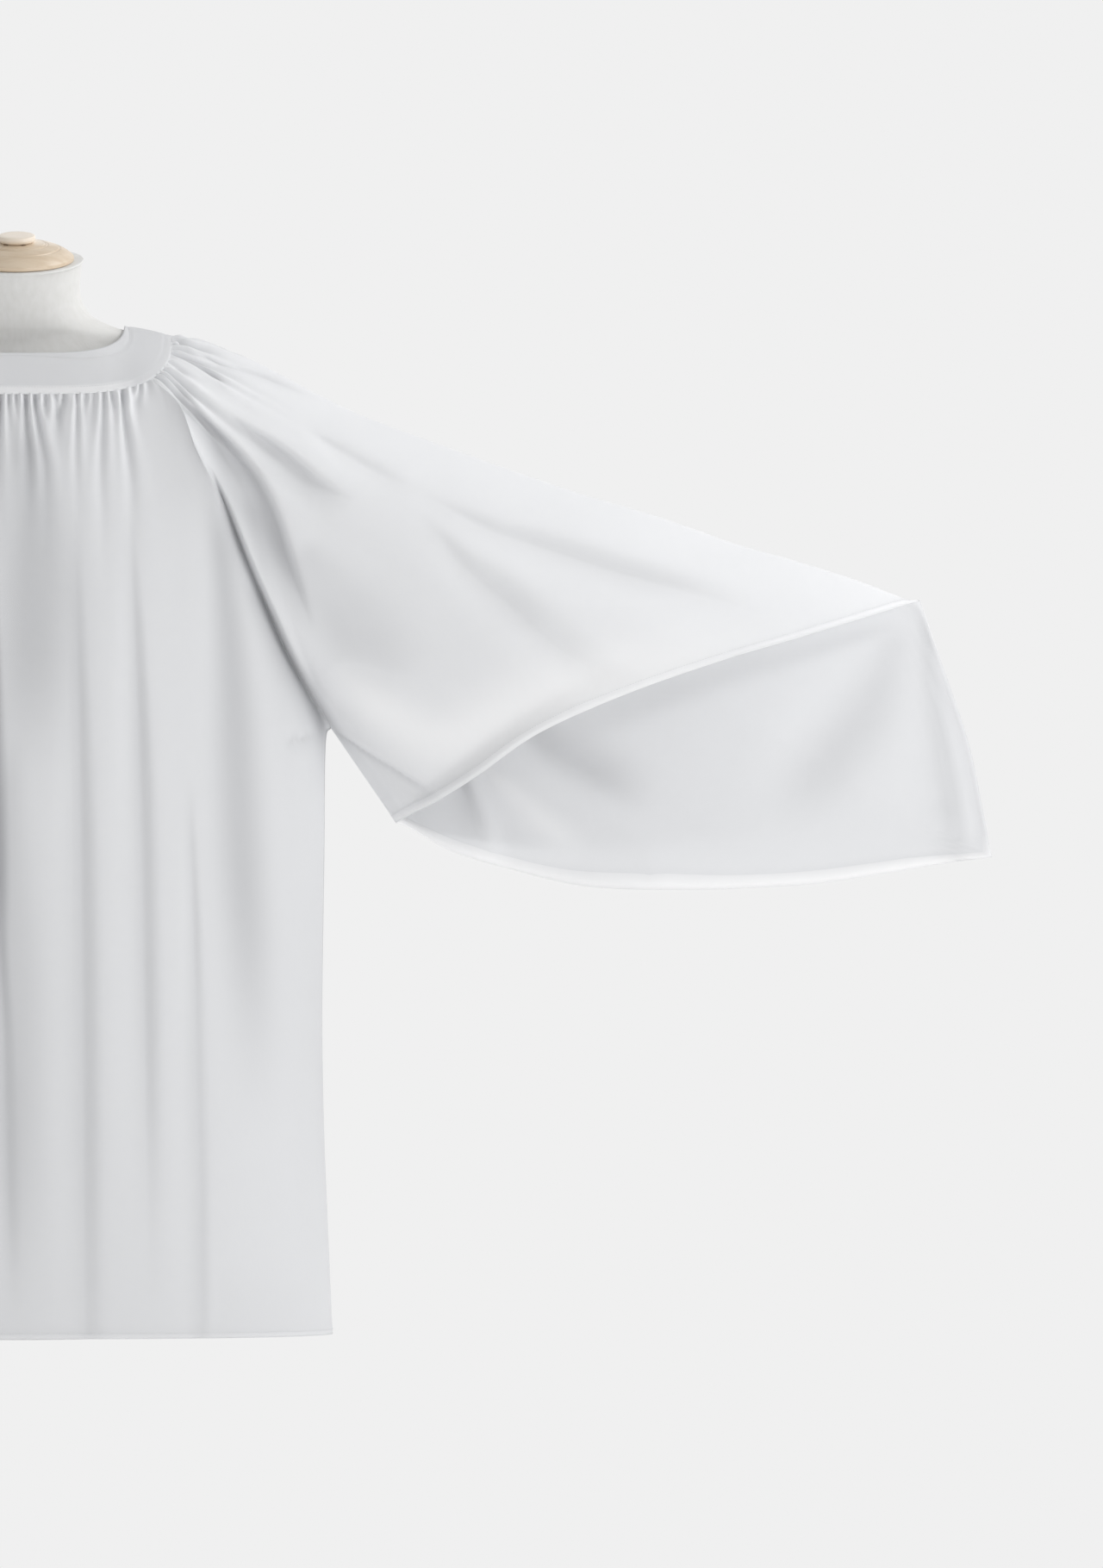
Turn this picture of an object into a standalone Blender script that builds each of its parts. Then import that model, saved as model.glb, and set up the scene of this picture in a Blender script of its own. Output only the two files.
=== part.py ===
"""Surplice on a limbless dress form: a rounded-square yoke, gathered front and back, and two
wide raglan sleeves held out sideways, each a thin wall, over a torso on a short pole and a round
foot that the skirt hides.

Metres, +Z up, +X to the wearer's left, the front towards -Y. The origin is the centre of the
foot's underside.
"""
import math
from collections import namedtuple

import bmesh
import bpy
import numpy as np

# Driving dimensions of the garment, in metres
HEM_HEIGHT = 0.002
CLOTH_WALL = 0.0014
YOKE_WALL = 0.0020
SEAM_INSET = 0.00026
FOLD_FREE_DEPTH = 0.045
FOLD_FREE_TOP = 0.030
WELD = 1e-5

# Yoke: a rounded square seen from above, lying on the shoulders
YOKE_CORNER = 0.5
NECK_HALF_WIDTH = 0.112
NECK_FRONT = 0.085
NECK_BACK = 0.078
NECK_SHOULDER_HEIGHT = 1.052
NECK_FRONT_DROP = 0.030
NECK_BACK_DROP = 0.020
NECK_DROP_POWER = 1.5
YOKE_HALF_WIDTH = 0.162
YOKE_FRONT = 0.112
YOKE_BACK = 0.106
YOKE_SHOULDER_HEIGHT = 1.0415
YOKE_FRONT_DROP = 0.062
YOKE_BACK_DROP = 0.046
YOKE_DROP_POWER = 1.35
RAGLAN_ANGLE = math.radians(50)

# Body: its hem seen from above, and where the gathered columns end on it
HEM_HALF_WIDTH = 0.329
HEM_FRONT = 0.165
HEM_BACK = 0.152
HEM_POWER = 0.90
HEM_GATHERED_SHARE = 0.53
BODY_FLARE = 0.55
SIDE_SHIFT_POWER = 8

# Counts of gathers, and of the wall's columns
FRONT_GATHERS = 30
BACK_GATHERS = 30
CAP_GATHERS = 22
RAGLAN_COLUMNS = 8
GATHER_DEPTH = 0.0026
FORM_SIDES = 28

# Dress form and stand
NECK_TILT = math.radians(14)
CAP_FORWARD = 0.0105
CAP_FOOT = 0.0045
CAP_RADIUS = 0.0595
KNOB_RADIUS = 0.0195
POLE_RADIUS = 0.016
POLE_SIDES = 24
FOOT_SIDES = 36
FOOT_RADIUS = 0.130
FOOT_THICKNESS = 0.012
HUB_RADIUS = 0.030
HUB_HEIGHT = 0.042
STAND_EDGE = 0.004
SEAT_GAP = 0.0003

Point = namedtuple("Point", "x y z")
SideRow = namedtuple("SideRow", "down shift")
Fold = namedtuple("Fold", "face x_top z_top x_low z_low depth width")
FormRow = namedtuple("FormRow", "z half_width front back lean")
Gathering = namedtuple("Gathering", "share depth")

# Front raglan seam of the left side below the yoke, z above the hem
RAGLAN_FRONT = [
    Point(0.172, -0.107, 0.968),
    Point(0.190, -0.113, 0.920),
    Point(0.219, -0.110, 0.865),
    Point(0.241, -0.102, 0.816),
    Point(0.264, -0.088, 0.761),
    Point(0.293, -0.064, 0.704),
    Point(0.314, -0.034, 0.662),
]
RAGLAN_BACK = [
    Point(0.174, 0.106, 0.972),
    Point(0.196, 0.110, 0.922),
    Point(0.222, 0.107, 0.868),
    Point(0.246, 0.098, 0.812),
    Point(0.268, 0.083, 0.758),
    Point(0.294, 0.060, 0.702),
    Point(0.314, 0.032, 0.662),
]
UNDERARM = Point(0.3275, 0.0, 0.6335)

# Side seam: how far it stands in from a straight line, by the share of the way down
SIDE_ROWS = [
    SideRow(0.00, 0.0),
    SideRow(0.03, -0.0058),
    SideRow(0.22, -0.0075),
    SideRow(0.47, -0.0100),
    SideRow(0.65, -0.0086),
    SideRow(0.80, -0.0052),
    SideRow(1.00, 0.0),
]

# Sleeve: its top line, and the two edges of its mouth, z above the hem
SLEEVE_TOP = [
    Point(0.199, 0.002, 1.0360),
    Point(0.238, 0.002, 1.0215),
    Point(0.278, 0.002, 1.0010),
    Point(0.344, 0.002, 0.9675),
    Point(0.414, 0.001, 0.9405),
    Point(0.570, 0.000, 0.8860),
    Point(0.673, 0.000, 0.8555),
    Point(0.756, 0.000, 0.8270),
    Point(0.811, 0.000, 0.8120),
    Point(0.879, 0.000, 0.7910),
    Point(0.943, 0.000, 0.7665),
]
MOUTH_FRONT = [
    Point(0.943, 0.000, 0.7665),
    Point(0.879, -0.040, 0.7465),
    Point(0.811, -0.070, 0.7255),
    Point(0.742, -0.092, 0.7050),
    Point(0.639, -0.110, 0.6690),
    Point(0.545, -0.110, 0.6270),
    Point(0.483, -0.093, 0.5840),
    Point(0.440, -0.064, 0.5570),
    Point(0.415, -0.036, 0.5445),
    Point(0.396, -0.004, 0.5340),
]
MOUTH_BACK_DROP = [
    Point(0.943, 0.000, 0.7665),
    Point(0.959, 0.024, 0.7210),
    Point(0.978, 0.046, 0.6700),
    Point(0.999, 0.064, 0.6040),
    Point(1.0205, 0.080, 0.4980),
]
MOUTH_BACK_FOOT = [
    Point(1.0205, 0.080, 0.4980),
    Point(0.967, 0.090, 0.4905),
    Point(0.860, 0.102, 0.4725),
    Point(0.792, 0.108, 0.4665),
    Point(0.702, 0.109, 0.4630),
    Point(0.595, 0.101, 0.4665),
    Point(0.510, 0.080, 0.4860),
    Point(0.4545, 0.050, 0.5030),
    Point(0.411, 0.014, 0.5270),
    Point(0.396, -0.004, 0.5340),
]
MOUTH_FRONT_CAP_SHARE = 0.60
MOUTH_CORNER_COLUMNS = 12
TOP_LINE_COLUMNS = 9

# Rows of the walls, as shares of the way from the yoke or the armhole to the hem or the mouth
BODY_ROWS = [0.0, 0.018, 0.045, 0.085, 0.14, 0.21, 0.30, 0.40, 0.51, 0.62, 0.73, 0.84, 0.93, 1.0]
SLEEVE_ROWS = [0.0, 0.03, 0.07, 0.125, 0.19, 0.27, 0.36, 0.46, 0.57, 0.68, 0.79, 0.89, 0.96, 1.0]
FINE_ROWS = 4
GATHER_ROWS = [
    Gathering(0.00, 0.45),
    Gathering(0.03, 1.00),
    Gathering(0.08, 0.90),
    Gathering(0.14, 0.50),
    Gathering(0.21, 0.0),
    Gathering(1.00, 0.0),
]

# Largest folds as seen from the front (face -1) or the back (face 1), on the left side
FOLDS = [
    Fold(-1, 0.186, 0.935, 0.241, 0.816, 0.008, 0.020),
    Fold(-1, 0.241, 0.816, 0.322, 0.650, 0.010, 0.024),
    Fold(-1, 0.188, 0.965, 0.275, 0.851, 0.012, 0.020),
    Fold(-1, 0.225, 0.958, 0.325, 0.880, 0.008, 0.018),
    Fold(-1, 0.404, 0.887, 0.623, 0.797, 0.009, 0.040),
    Fold(-1, 0.427, 0.855, 0.544, 0.735, 0.008, 0.030),
    Fold(-1, 0.358, 0.751, 0.430, 0.680, 0.012, 0.045),
    Fold(-1, 0.218, 0.740, 0.246, 0.580, 0.008, 0.028),
    Fold(-1, 0.229, 0.505, 0.245, 0.180, 0.009, 0.032),
    Fold(-1, 0.190, 0.340, 0.192, 0.020, 0.010, 0.022),
    Fold(-1, 0.012, 0.940, 0.008, 0.700, 0.008, 0.020),
    Fold(-1, 0.060, 0.700, 0.075, 0.020, 0.010, 0.030),
    Fold(-1, 0.130, 0.820, 0.140, 0.300, 0.009, 0.026),
    Fold(1, 0.190, 0.930, 0.250, 0.800, 0.009, 0.022),
    Fold(1, 0.250, 0.800, 0.320, 0.655, 0.009, 0.026),
    Fold(1, 0.215, 0.955, 0.320, 0.850, 0.010, 0.022),
    Fold(1, 0.380, 0.890, 0.640, 0.720, 0.012, 0.045),
    Fold(1, 0.520, 0.800, 0.800, 0.620, 0.010, 0.050),
    Fold(1, 0.225, 0.640, 0.240, 0.120, 0.010, 0.034),
    Fold(1, 0.045, 0.900, 0.060, 0.100, 0.010, 0.030),
    Fold(1, 0.150, 0.780, 0.160, 0.040, 0.010, 0.030),
]

# Sections of the torso and neck, from the bottom board to the cap, z above the hem
FORM_ROWS = [
    FormRow(0.330, 0.148, 0.094, 0.092, 0.0),
    FormRow(0.380, 0.164, 0.104, 0.108, 0.0),
    FormRow(0.450, 0.170, 0.108, 0.112, 0.0),
    FormRow(0.550, 0.156, 0.104, 0.096, 0.0),
    FormRow(0.630, 0.152, 0.104, 0.090, 0.0),
    FormRow(0.730, 0.166, 0.114, 0.098, 0.0),
    FormRow(0.830, 0.184, 0.114, 0.106, 0.0),
    FormRow(0.910, 0.196, 0.107, 0.104, 0.0),
    FormRow(0.970, 0.205, 0.092, 0.092, 0.0),
    FormRow(1.004, 0.207, 0.073, 0.074, 0.0),
    FormRow(1.022, 0.199, 0.060, 0.062, 0.0),
    FormRow(1.0332, 0.172, 0.052, 0.054, 0.0),
    FormRow(1.0422, 0.140, 0.050, 0.052, 0.0),
    FormRow(1.0512, 0.102, 0.054, 0.055, 0.1),
    FormRow(1.066, 0.075, 0.058, 0.058, 0.3),
    FormRow(1.088, 0.066, 0.062, 0.058, 0.7),
    FormRow(1.123, 0.068, 0.071, 0.055, 1.0),
]

COLOURS = {
    "cotton": (0.80, 0.81, 0.83, 1.0),
    "jersey": (0.78, 0.76, 0.70, 1.0),
    "wood": (0.66, 0.50, 0.33, 1.0),
    "paint": (0.82, 0.82, 0.81, 1.0),
}


def material(name, roughness, metallic=0.0):
    """Principled material of the given colour."""
    made = bpy.data.materials.new(name)
    made.use_nodes = True
    shader = made.node_tree.nodes["Principled BSDF"]
    shader.inputs["Base Color"].default_value = COLOURS[name]
    shader.inputs["Roughness"].default_value = roughness
    shader.inputs["Metallic"].default_value = metallic
    return made


def smooth_curve(points, steps=14):
    """Points of a Catmull-Rom curve through the given ones."""
    knots = np.array(points, float)
    knots = np.vstack([2 * knots[0] - knots[1], knots, 2 * knots[-1] - knots[-2]])
    curve = []
    for i in range(1, len(knots) - 2):
        a, b, c, d = knots[i - 1:i + 3]
        for t in np.linspace(0, 1, steps, endpoint=False):
            curve.append(0.5 * (2 * b + (c - a) * t + (2 * a - 5 * b + 4 * c - d) * t ** 2
                                + (3 * b - a - 3 * c + d) * t ** 3))
    curve.append(knots[-2])
    return np.array(curve)


def at_shares(curve, shares):
    """Points of a dense curve at the given shares of its length."""
    steps = np.linalg.norm(np.diff(curve, axis=0), axis=1)
    length = np.concatenate([[0], np.cumsum(steps)])
    wanted = np.array(shares) * length[-1]
    return np.stack([np.interp(wanted, length, curve[:, k]) for k in range(3)], axis=1)


def rounded_square(angle, half_width, front, back, shoulder, front_drop, back_drop, power):
    """Point of a ring round the neck: angle 0 is the front middle, 90 degrees the left shoulder."""
    side = math.copysign(abs(math.sin(angle)) ** YOKE_CORNER, math.sin(angle))
    face = math.copysign(abs(math.cos(angle)) ** YOKE_CORNER, math.cos(angle))
    depth, drop = (front, front_drop) if face > 0 else (back, back_drop)
    height = shoulder - drop * abs(face) ** power
    return np.array([side * half_width, -face * depth, HEM_HEIGHT + height])


def neck_point(angle):
    """Point of the yoke's inner edge."""
    return rounded_square(angle, NECK_HALF_WIDTH, NECK_FRONT, NECK_BACK, NECK_SHOULDER_HEIGHT,
                          NECK_FRONT_DROP, NECK_BACK_DROP, NECK_DROP_POWER)


def yoke_point(angle):
    """Point of the yoke's outer edge."""
    return rounded_square(angle, YOKE_HALF_WIDTH, YOKE_FRONT, YOKE_BACK, YOKE_SHOULDER_HEIGHT,
                          YOKE_FRONT_DROP, YOKE_BACK_DROP, YOKE_DROP_POWER)


def edge_between(point_at, start, end, count):
    """Evenly spaced points of a ring between two angles, both ends included."""
    dense = np.array([point_at(a) for a in np.linspace(start, end, 241)])
    return at_shares(dense, np.linspace(0, 1, count + 1))


def lifted(points, side=1):
    """Table points in world metres, mirrored for the right side."""
    return np.array([(side * p.x, p.y, HEM_HEIGHT + p.z) for p in points])


def raglan(side, face):
    """Raglan seam from the yoke's edge down to the underarm."""
    angle = RAGLAN_ANGLE if face < 0 else math.pi - RAGLAN_ANGLE
    start = yoke_point(side * angle)
    table = RAGLAN_FRONT if face < 0 else RAGLAN_BACK
    curve = smooth_curve(np.vstack([start, lifted(table + [UNDERARM], side)]))
    return at_shares(curve, np.linspace(0, 1, RAGLAN_COLUMNS + 1))


def hem_curve(side, face):
    """Half of the hem from the middle to the side seam."""
    depth = HEM_FRONT if face < 0 else HEM_BACK
    angles = np.linspace(0, math.pi / 2, 181)
    return np.array([(side * HEM_HALF_WIDTH * math.sin(a) ** HEM_POWER,
                      face * depth * math.cos(a) ** HEM_POWER, HEM_HEIGHT) for a in angles])


def fold_depth(point, face):
    """How far the large folds press the cloth in at a point, seen from the front or the back."""
    x, z = abs(point[0]), point[2] - HEM_HEIGHT
    total = 0.0
    for fold in FOLDS:
        if fold.face != face:
            continue
        run = np.array([fold.x_low - fold.x_top, fold.z_low - fold.z_top])
        offset = np.array([x - fold.x_top, z - fold.z_top])
        length = np.linalg.norm(run)
        along = float(offset @ run) / length ** 2
        across = abs(run[0] * offset[1] - run[1] * offset[0]) / length
        past = max(0.0, -along, along - 1) * length
        fade = math.exp(-(across / fold.width) ** 2 - (past / (2 * fold.width)) ** 2)
        total += fold.depth * fade * (0.45 + 0.55 * math.sin(math.pi * min(max(along, 0), 1)))
    yoke_foot = YOKE_SHOULDER_HEIGHT - (YOKE_FRONT_DROP if face < 0 else YOKE_BACK_DROP)
    past_yoke = max(x - YOKE_HALF_WIDTH, yoke_foot - z, 0.0)
    return total * min(1.0, abs(point[1]) / FOLD_FREE_DEPTH) * min(1.0, past_yoke / FOLD_FREE_TOP)


def with_folds(grid, face):
    """The grid with its large folds pressed in, along Y."""
    bent = grid.copy()
    for row in bent:
        for point in row:
            point[1] -= face * fold_depth(point, face)
    return bent


def body_grid(face):
    """Rows of the front or back panel, from the yoke and the raglan seams to the hem."""
    gathers = FRONT_GATHERS if face < 0 else BACK_GATHERS
    if face < 0:
        top = edge_between(yoke_point, -RAGLAN_ANGLE, RAGLAN_ANGLE, 2 * gathers)
    else:
        turn = math.pi - RAGLAN_ANGLE
        top = edge_between(yoke_point, -turn, -2 * math.pi + turn, 2 * gathers)
    top = np.vstack([raglan(-1, face)[:0:-1], top, raglan(1, face)[1:]])
    half = gathers + RAGLAN_COLUMNS
    share = np.concatenate([np.linspace(0, HEM_GATHERED_SHARE, gathers + 1),
                            np.linspace(HEM_GATHERED_SHARE, 1, RAGLAN_COLUMNS + 1)[1:]])
    left = at_shares(hem_curve(1, face), share)
    right = at_shares(hem_curve(-1, face), share)
    low = np.vstack([right[:0:-1], left])
    rows = []
    for down in BODY_ROWS:
        row = top + (low - top) * down
        row[:, 1] = top[:, 1] + (low[:, 1] - top[:, 1]) * down ** BODY_FLARE
        shift = np.interp(down, [r.down for r in SIDE_ROWS], [r.shift for r in SIDE_ROWS])
        edge = np.abs(np.arange(-half, half + 1) / half) ** SIDE_SHIFT_POWER
        row[:, 0] += np.sign(row[:, 0]) * shift * edge
        rows.append(row)
    return with_folds(np.array(rows), face)


def sleeve_grid(side):
    """Rows of a sleeve from the armhole to the mouth, each a loop that starts at the underarm."""
    cap = edge_between(yoke_point, side * RAGLAN_ANGLE, side * (math.pi - RAGLAN_ANGLE), 2 * CAP_GATHERS)
    armhole = np.vstack([raglan(side, -1)[:0:-1], cap, raglan(side, 1)[1:]])
    middle = CAP_GATHERS + RAGLAN_COLUMNS
    front_share = np.concatenate([np.linspace(0, MOUTH_FRONT_CAP_SHARE, CAP_GATHERS + 1),
                                  np.linspace(MOUTH_FRONT_CAP_SHARE, 1, RAGLAN_COLUMNS + 1)[1:]])
    front = at_shares(smooth_curve(lifted(MOUTH_FRONT, side)), front_share)
    drop = at_shares(smooth_curve(lifted(MOUTH_BACK_DROP, side)),
                     np.linspace(0, 1, MOUTH_CORNER_COLUMNS + 1))
    foot = at_shares(smooth_curve(lifted(MOUTH_BACK_FOOT, side)),
                     np.linspace(0, 1, middle - MOUTH_CORNER_COLUMNS + 1))
    mouth = np.vstack([front[:0:-1], drop, foot[1:]])
    top_line = smooth_curve(np.vstack([armhole[middle], lifted(SLEEVE_TOP, side)]))
    near_top = np.exp(-((np.arange(2 * middle + 1) - middle) / TOP_LINE_COLUMNS) ** 2)
    rows = []
    for out in SLEEVE_ROWS:
        row = armhole + (mouth - armhole) * out
        sag = at_shares(top_line, [out])[0] - row[middle]
        row += near_top[:, None] * sag
        rows.append(row)
    grid = np.array(rows)
    grid[:, :middle] = with_folds(grid[:, :middle], -1)
    grid[:, middle + 1:] = with_folds(grid[:, middle + 1:], 1)
    grid[:, -1] = grid[:, 0]
    return grid


def yoke_grid():
    """Two rows of the yoke: its outer edge, with the points of its seams, and its inner edge."""
    front, back = RAGLAN_ANGLE, math.pi - RAGLAN_ANGLE
    parts = [(-front, front, 2 * FRONT_GATHERS), (front, back, 2 * CAP_GATHERS),
             (back, 2 * math.pi - back, 2 * BACK_GATHERS),
             (2 * math.pi - back, 2 * math.pi - front, 2 * CAP_GATHERS)]
    rows = []
    for point_at in (yoke_point, neck_point):
        ring = np.vstack([edge_between(point_at, a, b, n)[:-1] for a, b, n in parts])
        rows.append(np.vstack([ring, ring[:1]]))
    return np.array(rows)


def gathering(rows, start, end, columns, fine_rows):
    """Signed depths of the gathers over a grid: ridge and valley take turns between two columns."""
    depths = np.zeros((len(rows), columns))
    for i, share in enumerate(rows):
        if i >= fine_rows:
            break
        depth = np.interp(share, [r.share for r in GATHER_ROWS], [r.depth for r in GATHER_ROWS])
        for k in range(start + 1, end):
            uneven = 0.75 + 0.25 * math.sin(2.3 * k) * math.cos(0.7 * k)
            turn = 1 if (k - start) % 2 else -1
            depths[i, k] = turn * depth * uneven * GATHER_DEPTH
    return depths


def kept_columns(columns, start, end):
    """Columns that go on below the gathers: every second one between start and end."""
    return [k for k in range(columns) if k <= start or k >= end or (k - start) % 2 == 0]


def stitched(grid, depths, kept, fine_rows, closed):
    """Points, depths and triangles of a grid whose lower rows hold only the kept columns."""
    count = grid.shape[1] - (1 if closed else 0)
    every = list(range(count))
    lower = [k for k in kept if k < count]
    points, lifts, index = [], [], []
    for i in range(len(grid)):
        columns = every if i < fine_rows else lower
        index.append({k: len(points) + n for n, k in enumerate(columns)})
        points.extend(grid[i, columns])
        lifts.extend(depths[i, columns])
    faces = []
    for i in range(len(grid) - 1):
        above, below = index[i], index[i + 1]
        ends = sorted(below)
        spans = list(zip(ends, ends[1:])) + ([(ends[-1], ends[0])] if closed else [])
        for a, b in spans:
            if b in above and (b - a) % count == 2 and (a + 1) % count in above:
                middle = above[(a + 1) % count]
                faces += [(above[a], middle, below[a]), (middle, below[b], below[a]),
                          (middle, above[b], below[b])]
            elif (a + b) % 2:
                faces += [(above[a], above[b], below[b]), (above[a], below[b], below[a])]
            else:
                faces += [(above[a], above[b], below[a]), (above[b], below[b], below[a])]
    return np.array(points), np.array(lifts), np.array(faces)


def facing_out(points, faces, inside):
    """Triangles turned so that most of them face away from a line or point inside."""
    a, b, c = (points[faces[:, k]] for k in range(3))
    outward = np.einsum("ij,ij->", np.cross(b - a, c - a), (a + b + c) / 3 - inside)
    return faces if outward > 0 else faces[:, ::-1]


def key_of(point):
    """Name of a place, the same for points that panels share."""
    return tuple(np.round(point / WELD).astype(int))


def shared_normals(panels):
    """Normal at every place, added up over all the panels that meet there."""
    total = {}
    for panel in panels.values():
        for face in panel["faces"]:
            a, b, c = panel["points"][face]
            normal = np.cross(b - a, c - a)
            for k in face:
                key = panel["keys"][k]
                total[key] = total.get(key, 0) + normal
    return {key: normal / np.linalg.norm(normal) for key, normal in total.items()}


def own_normals(points, faces):
    """Vertex normals of one panel."""
    a, b, c = (points[faces[:, k]] for k in range(3))
    normals = np.zeros_like(points)
    for k in range(3):
        np.add.at(normals, faces[:, k], np.cross(b - a, c - a))
    return normals / np.linalg.norm(normals, axis=1)[:, None]


def border_of(faces):
    """Directed edges that only one triangle has."""
    edges = {(int(f[k]), int(f[(k + 1) % 3])) for f in faces for k in range(3)}
    return [e for e in edges if (e[1], e[0]) not in edges]


def seam_edges(panels):
    """Edges, named by their places, where two panels meet."""
    owners = {}
    for name, panel in panels.items():
        for a, b in panel["border"]:
            pair = frozenset((panel["keys"][a], panel["keys"][b]))
            owners.setdefault(pair, set()).add(name)
    return {pair for pair, names in owners.items() if len(names) > 1}


def finished_wall(panel, normals, seams):
    """The panel's mid surface with gathers, drawn back from its seams, and its wall normals."""
    points, keys = panel["points"], panel["keys"]
    shared = np.array([normals[key] for key in keys])
    inward = {}
    for a, b in panel["border"]:
        if frozenset((keys[a], keys[b])) not in seams:
            continue
        along = points[b] - points[a]
        along /= np.linalg.norm(along)
        for k in (a, b):
            inward.setdefault(k, []).append(np.cross(shared[k], along))
    moved = points + shared * panel["lifts"][:, None]
    for k, ways in inward.items():
        total = sum(ways)
        reach = max(float(total @ ways[0]), 0.35)
        moved[k] += total * SEAM_INSET / reach
    wall = own_normals(moved, panel["faces"])
    for k in inward:
        wall[k] = shared[k]
    return moved, wall


def wall_mesh(points, normals, faces, border, thickness):
    """Closed wall of the given thickness round a mid surface."""
    outer = points + normals * thickness / 2
    inner = points - normals * thickness / 2
    count = len(points)
    solid = [tuple(int(k) for k in f) for f in faces]
    solid += [tuple(int(k) + count for k in f[::-1]) for f in faces]
    for a, b in border:
        solid.append((b, a, a + count))
        solid.append((b, a + count, b + count))
    return np.vstack([outer, inner]), solid


def add_object(name, points, faces, finish, smooth_angle=math.radians(50)):
    """Object of the part from its points and faces."""
    mesh = bpy.data.meshes.new(name)
    mesh.from_pydata([tuple(p) for p in points], [], faces)
    mesh.materials.append(finish)
    mesh.shade_smooth()
    mesh.set_sharp_from_angle(angle=smooth_angle)
    made = bpy.data.objects.new(name, mesh)
    PART.objects.link(made)
    return made


def make_garment(cotton):
    """The five cloth pieces, whose walls share their normals along each seam."""
    panels = {}
    grids = {
        "front": (body_grid(-1), BODY_ROWS, RAGLAN_COLUMNS, FRONT_GATHERS, False),
        "back": (body_grid(1), BODY_ROWS, RAGLAN_COLUMNS, BACK_GATHERS, False),
        "sleeve_left": (sleeve_grid(1), SLEEVE_ROWS, RAGLAN_COLUMNS, CAP_GATHERS, True),
        "sleeve_right": (sleeve_grid(-1), SLEEVE_ROWS, RAGLAN_COLUMNS, CAP_GATHERS, True),
    }
    for name, (grid, rows, start, gathers, closed) in grids.items():
        end = start + 2 * gathers
        depths = gathering(rows, start, end, grid.shape[1], FINE_ROWS)
        kept = kept_columns(grid.shape[1], start, end)
        points, lifts, faces = stitched(grid, depths, kept, FINE_ROWS, closed)
        centre = points.mean(axis=0)
        centre[1] = 0
        panels[name] = {"points": points, "lifts": lifts, "faces": facing_out(points, faces, centre)}
    ring = yoke_grid()
    kept = [k for k in range(ring.shape[1]) if k % 2 == 0]
    points, lifts, faces = stitched(ring, np.zeros(ring.shape[:2]), kept, 1, True)
    below = np.array([0.0, 0.0, HEM_HEIGHT + 0.9])
    panels["yoke"] = {"points": points, "lifts": lifts, "faces": facing_out(points, faces, below)}
    for panel in panels.values():
        panel["keys"] = [key_of(p) for p in panel["points"]]
        panel["border"] = border_of(panel["faces"])
    normals = shared_normals(panels)
    seams = seam_edges(panels)
    for name, panel in panels.items():
        points, wall = finished_wall(panel, normals, seams)
        thickness = YOKE_WALL if name == "yoke" else CLOTH_WALL
        solid = wall_mesh(points, wall, panel["faces"], panel["border"], thickness)
        add_object(name, *solid, cotton)


def form_section(row):
    """Ring of the torso at one height."""
    ring = []
    for k in range(FORM_SIDES):
        angle = 2 * math.pi * k / FORM_SIDES
        depth = row.front if math.sin(angle) < 0 else row.back
        y = depth * math.sin(angle)
        height = HEM_HEIGHT + row.z + y * math.tan(row.lean * NECK_TILT)
        ring.append((row.half_width * math.cos(angle), y, height))
    return ring


def make_torso(jersey):
    """Torso and neck, lofted through the sections, closed by a board below and above."""
    points, faces = [], []
    for row in FORM_ROWS:
        points += form_section(row)
    for i in range(len(FORM_ROWS) - 1):
        for k in range(FORM_SIDES):
            a, b = i * FORM_SIDES + k, i * FORM_SIDES + (k + 1) % FORM_SIDES
            faces += [(a, b, b + FORM_SIDES), (a, b + FORM_SIDES, a + FORM_SIDES)]
    faces.append(tuple(range(FORM_SIDES))[::-1])
    last = (len(FORM_ROWS) - 1) * FORM_SIDES
    faces.append(tuple(range(last, last + FORM_SIDES)))
    add_object("form_torso", points, faces, jersey)


def turned(name, profile, finish, sides):
    """Turned piece: a closed profile of (radius, height), top to bottom, with a Screw modifier."""
    mesh = bpy.data.meshes.new(name)
    mesh.from_pydata([(r, 0, z) for r, z in profile], [(i, i + 1) for i in range(len(profile) - 1)], [])
    mesh.materials.append(finish)
    made = bpy.data.objects.new(name, mesh)
    PART.objects.link(made)
    screw = made.modifiers.new("turn", "SCREW")
    screw.steps = screw.render_steps = sides
    screw.use_merge_vertices = True
    screw.merge_threshold = WELD
    return made


def make_cap(wood):
    """Turned wooden cap with its knob, leaning forward on the neck."""
    profile = [(0.0, 0.0230), (KNOB_RADIUS - 0.003, 0.0230), (KNOB_RADIUS, 0.0205), (KNOB_RADIUS, 0.0175),
               (KNOB_RADIUS - 0.003, 0.0160), (0.022, 0.0145), (0.034, 0.0125), (0.046, 0.0085),
               (0.055, 0.0035), (CAP_RADIUS, 0.0), (CAP_RADIUS, 0.001 - CAP_FOOT),
               (CAP_RADIUS - 0.002, -CAP_FOOT), (0.0, -CAP_FOOT)]
    cap = turned("neck_cap", profile, wood, FORM_SIDES)
    rise = CAP_FOOT + SEAT_GAP
    neck_top = HEM_HEIGHT + FORM_ROWS[-1].z - CAP_FORWARD * math.tan(NECK_TILT)
    cap.location = (0, -CAP_FORWARD - rise * math.sin(NECK_TILT), neck_top + rise * math.cos(NECK_TILT))
    cap.rotation_euler = (NECK_TILT, 0, 0)


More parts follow.
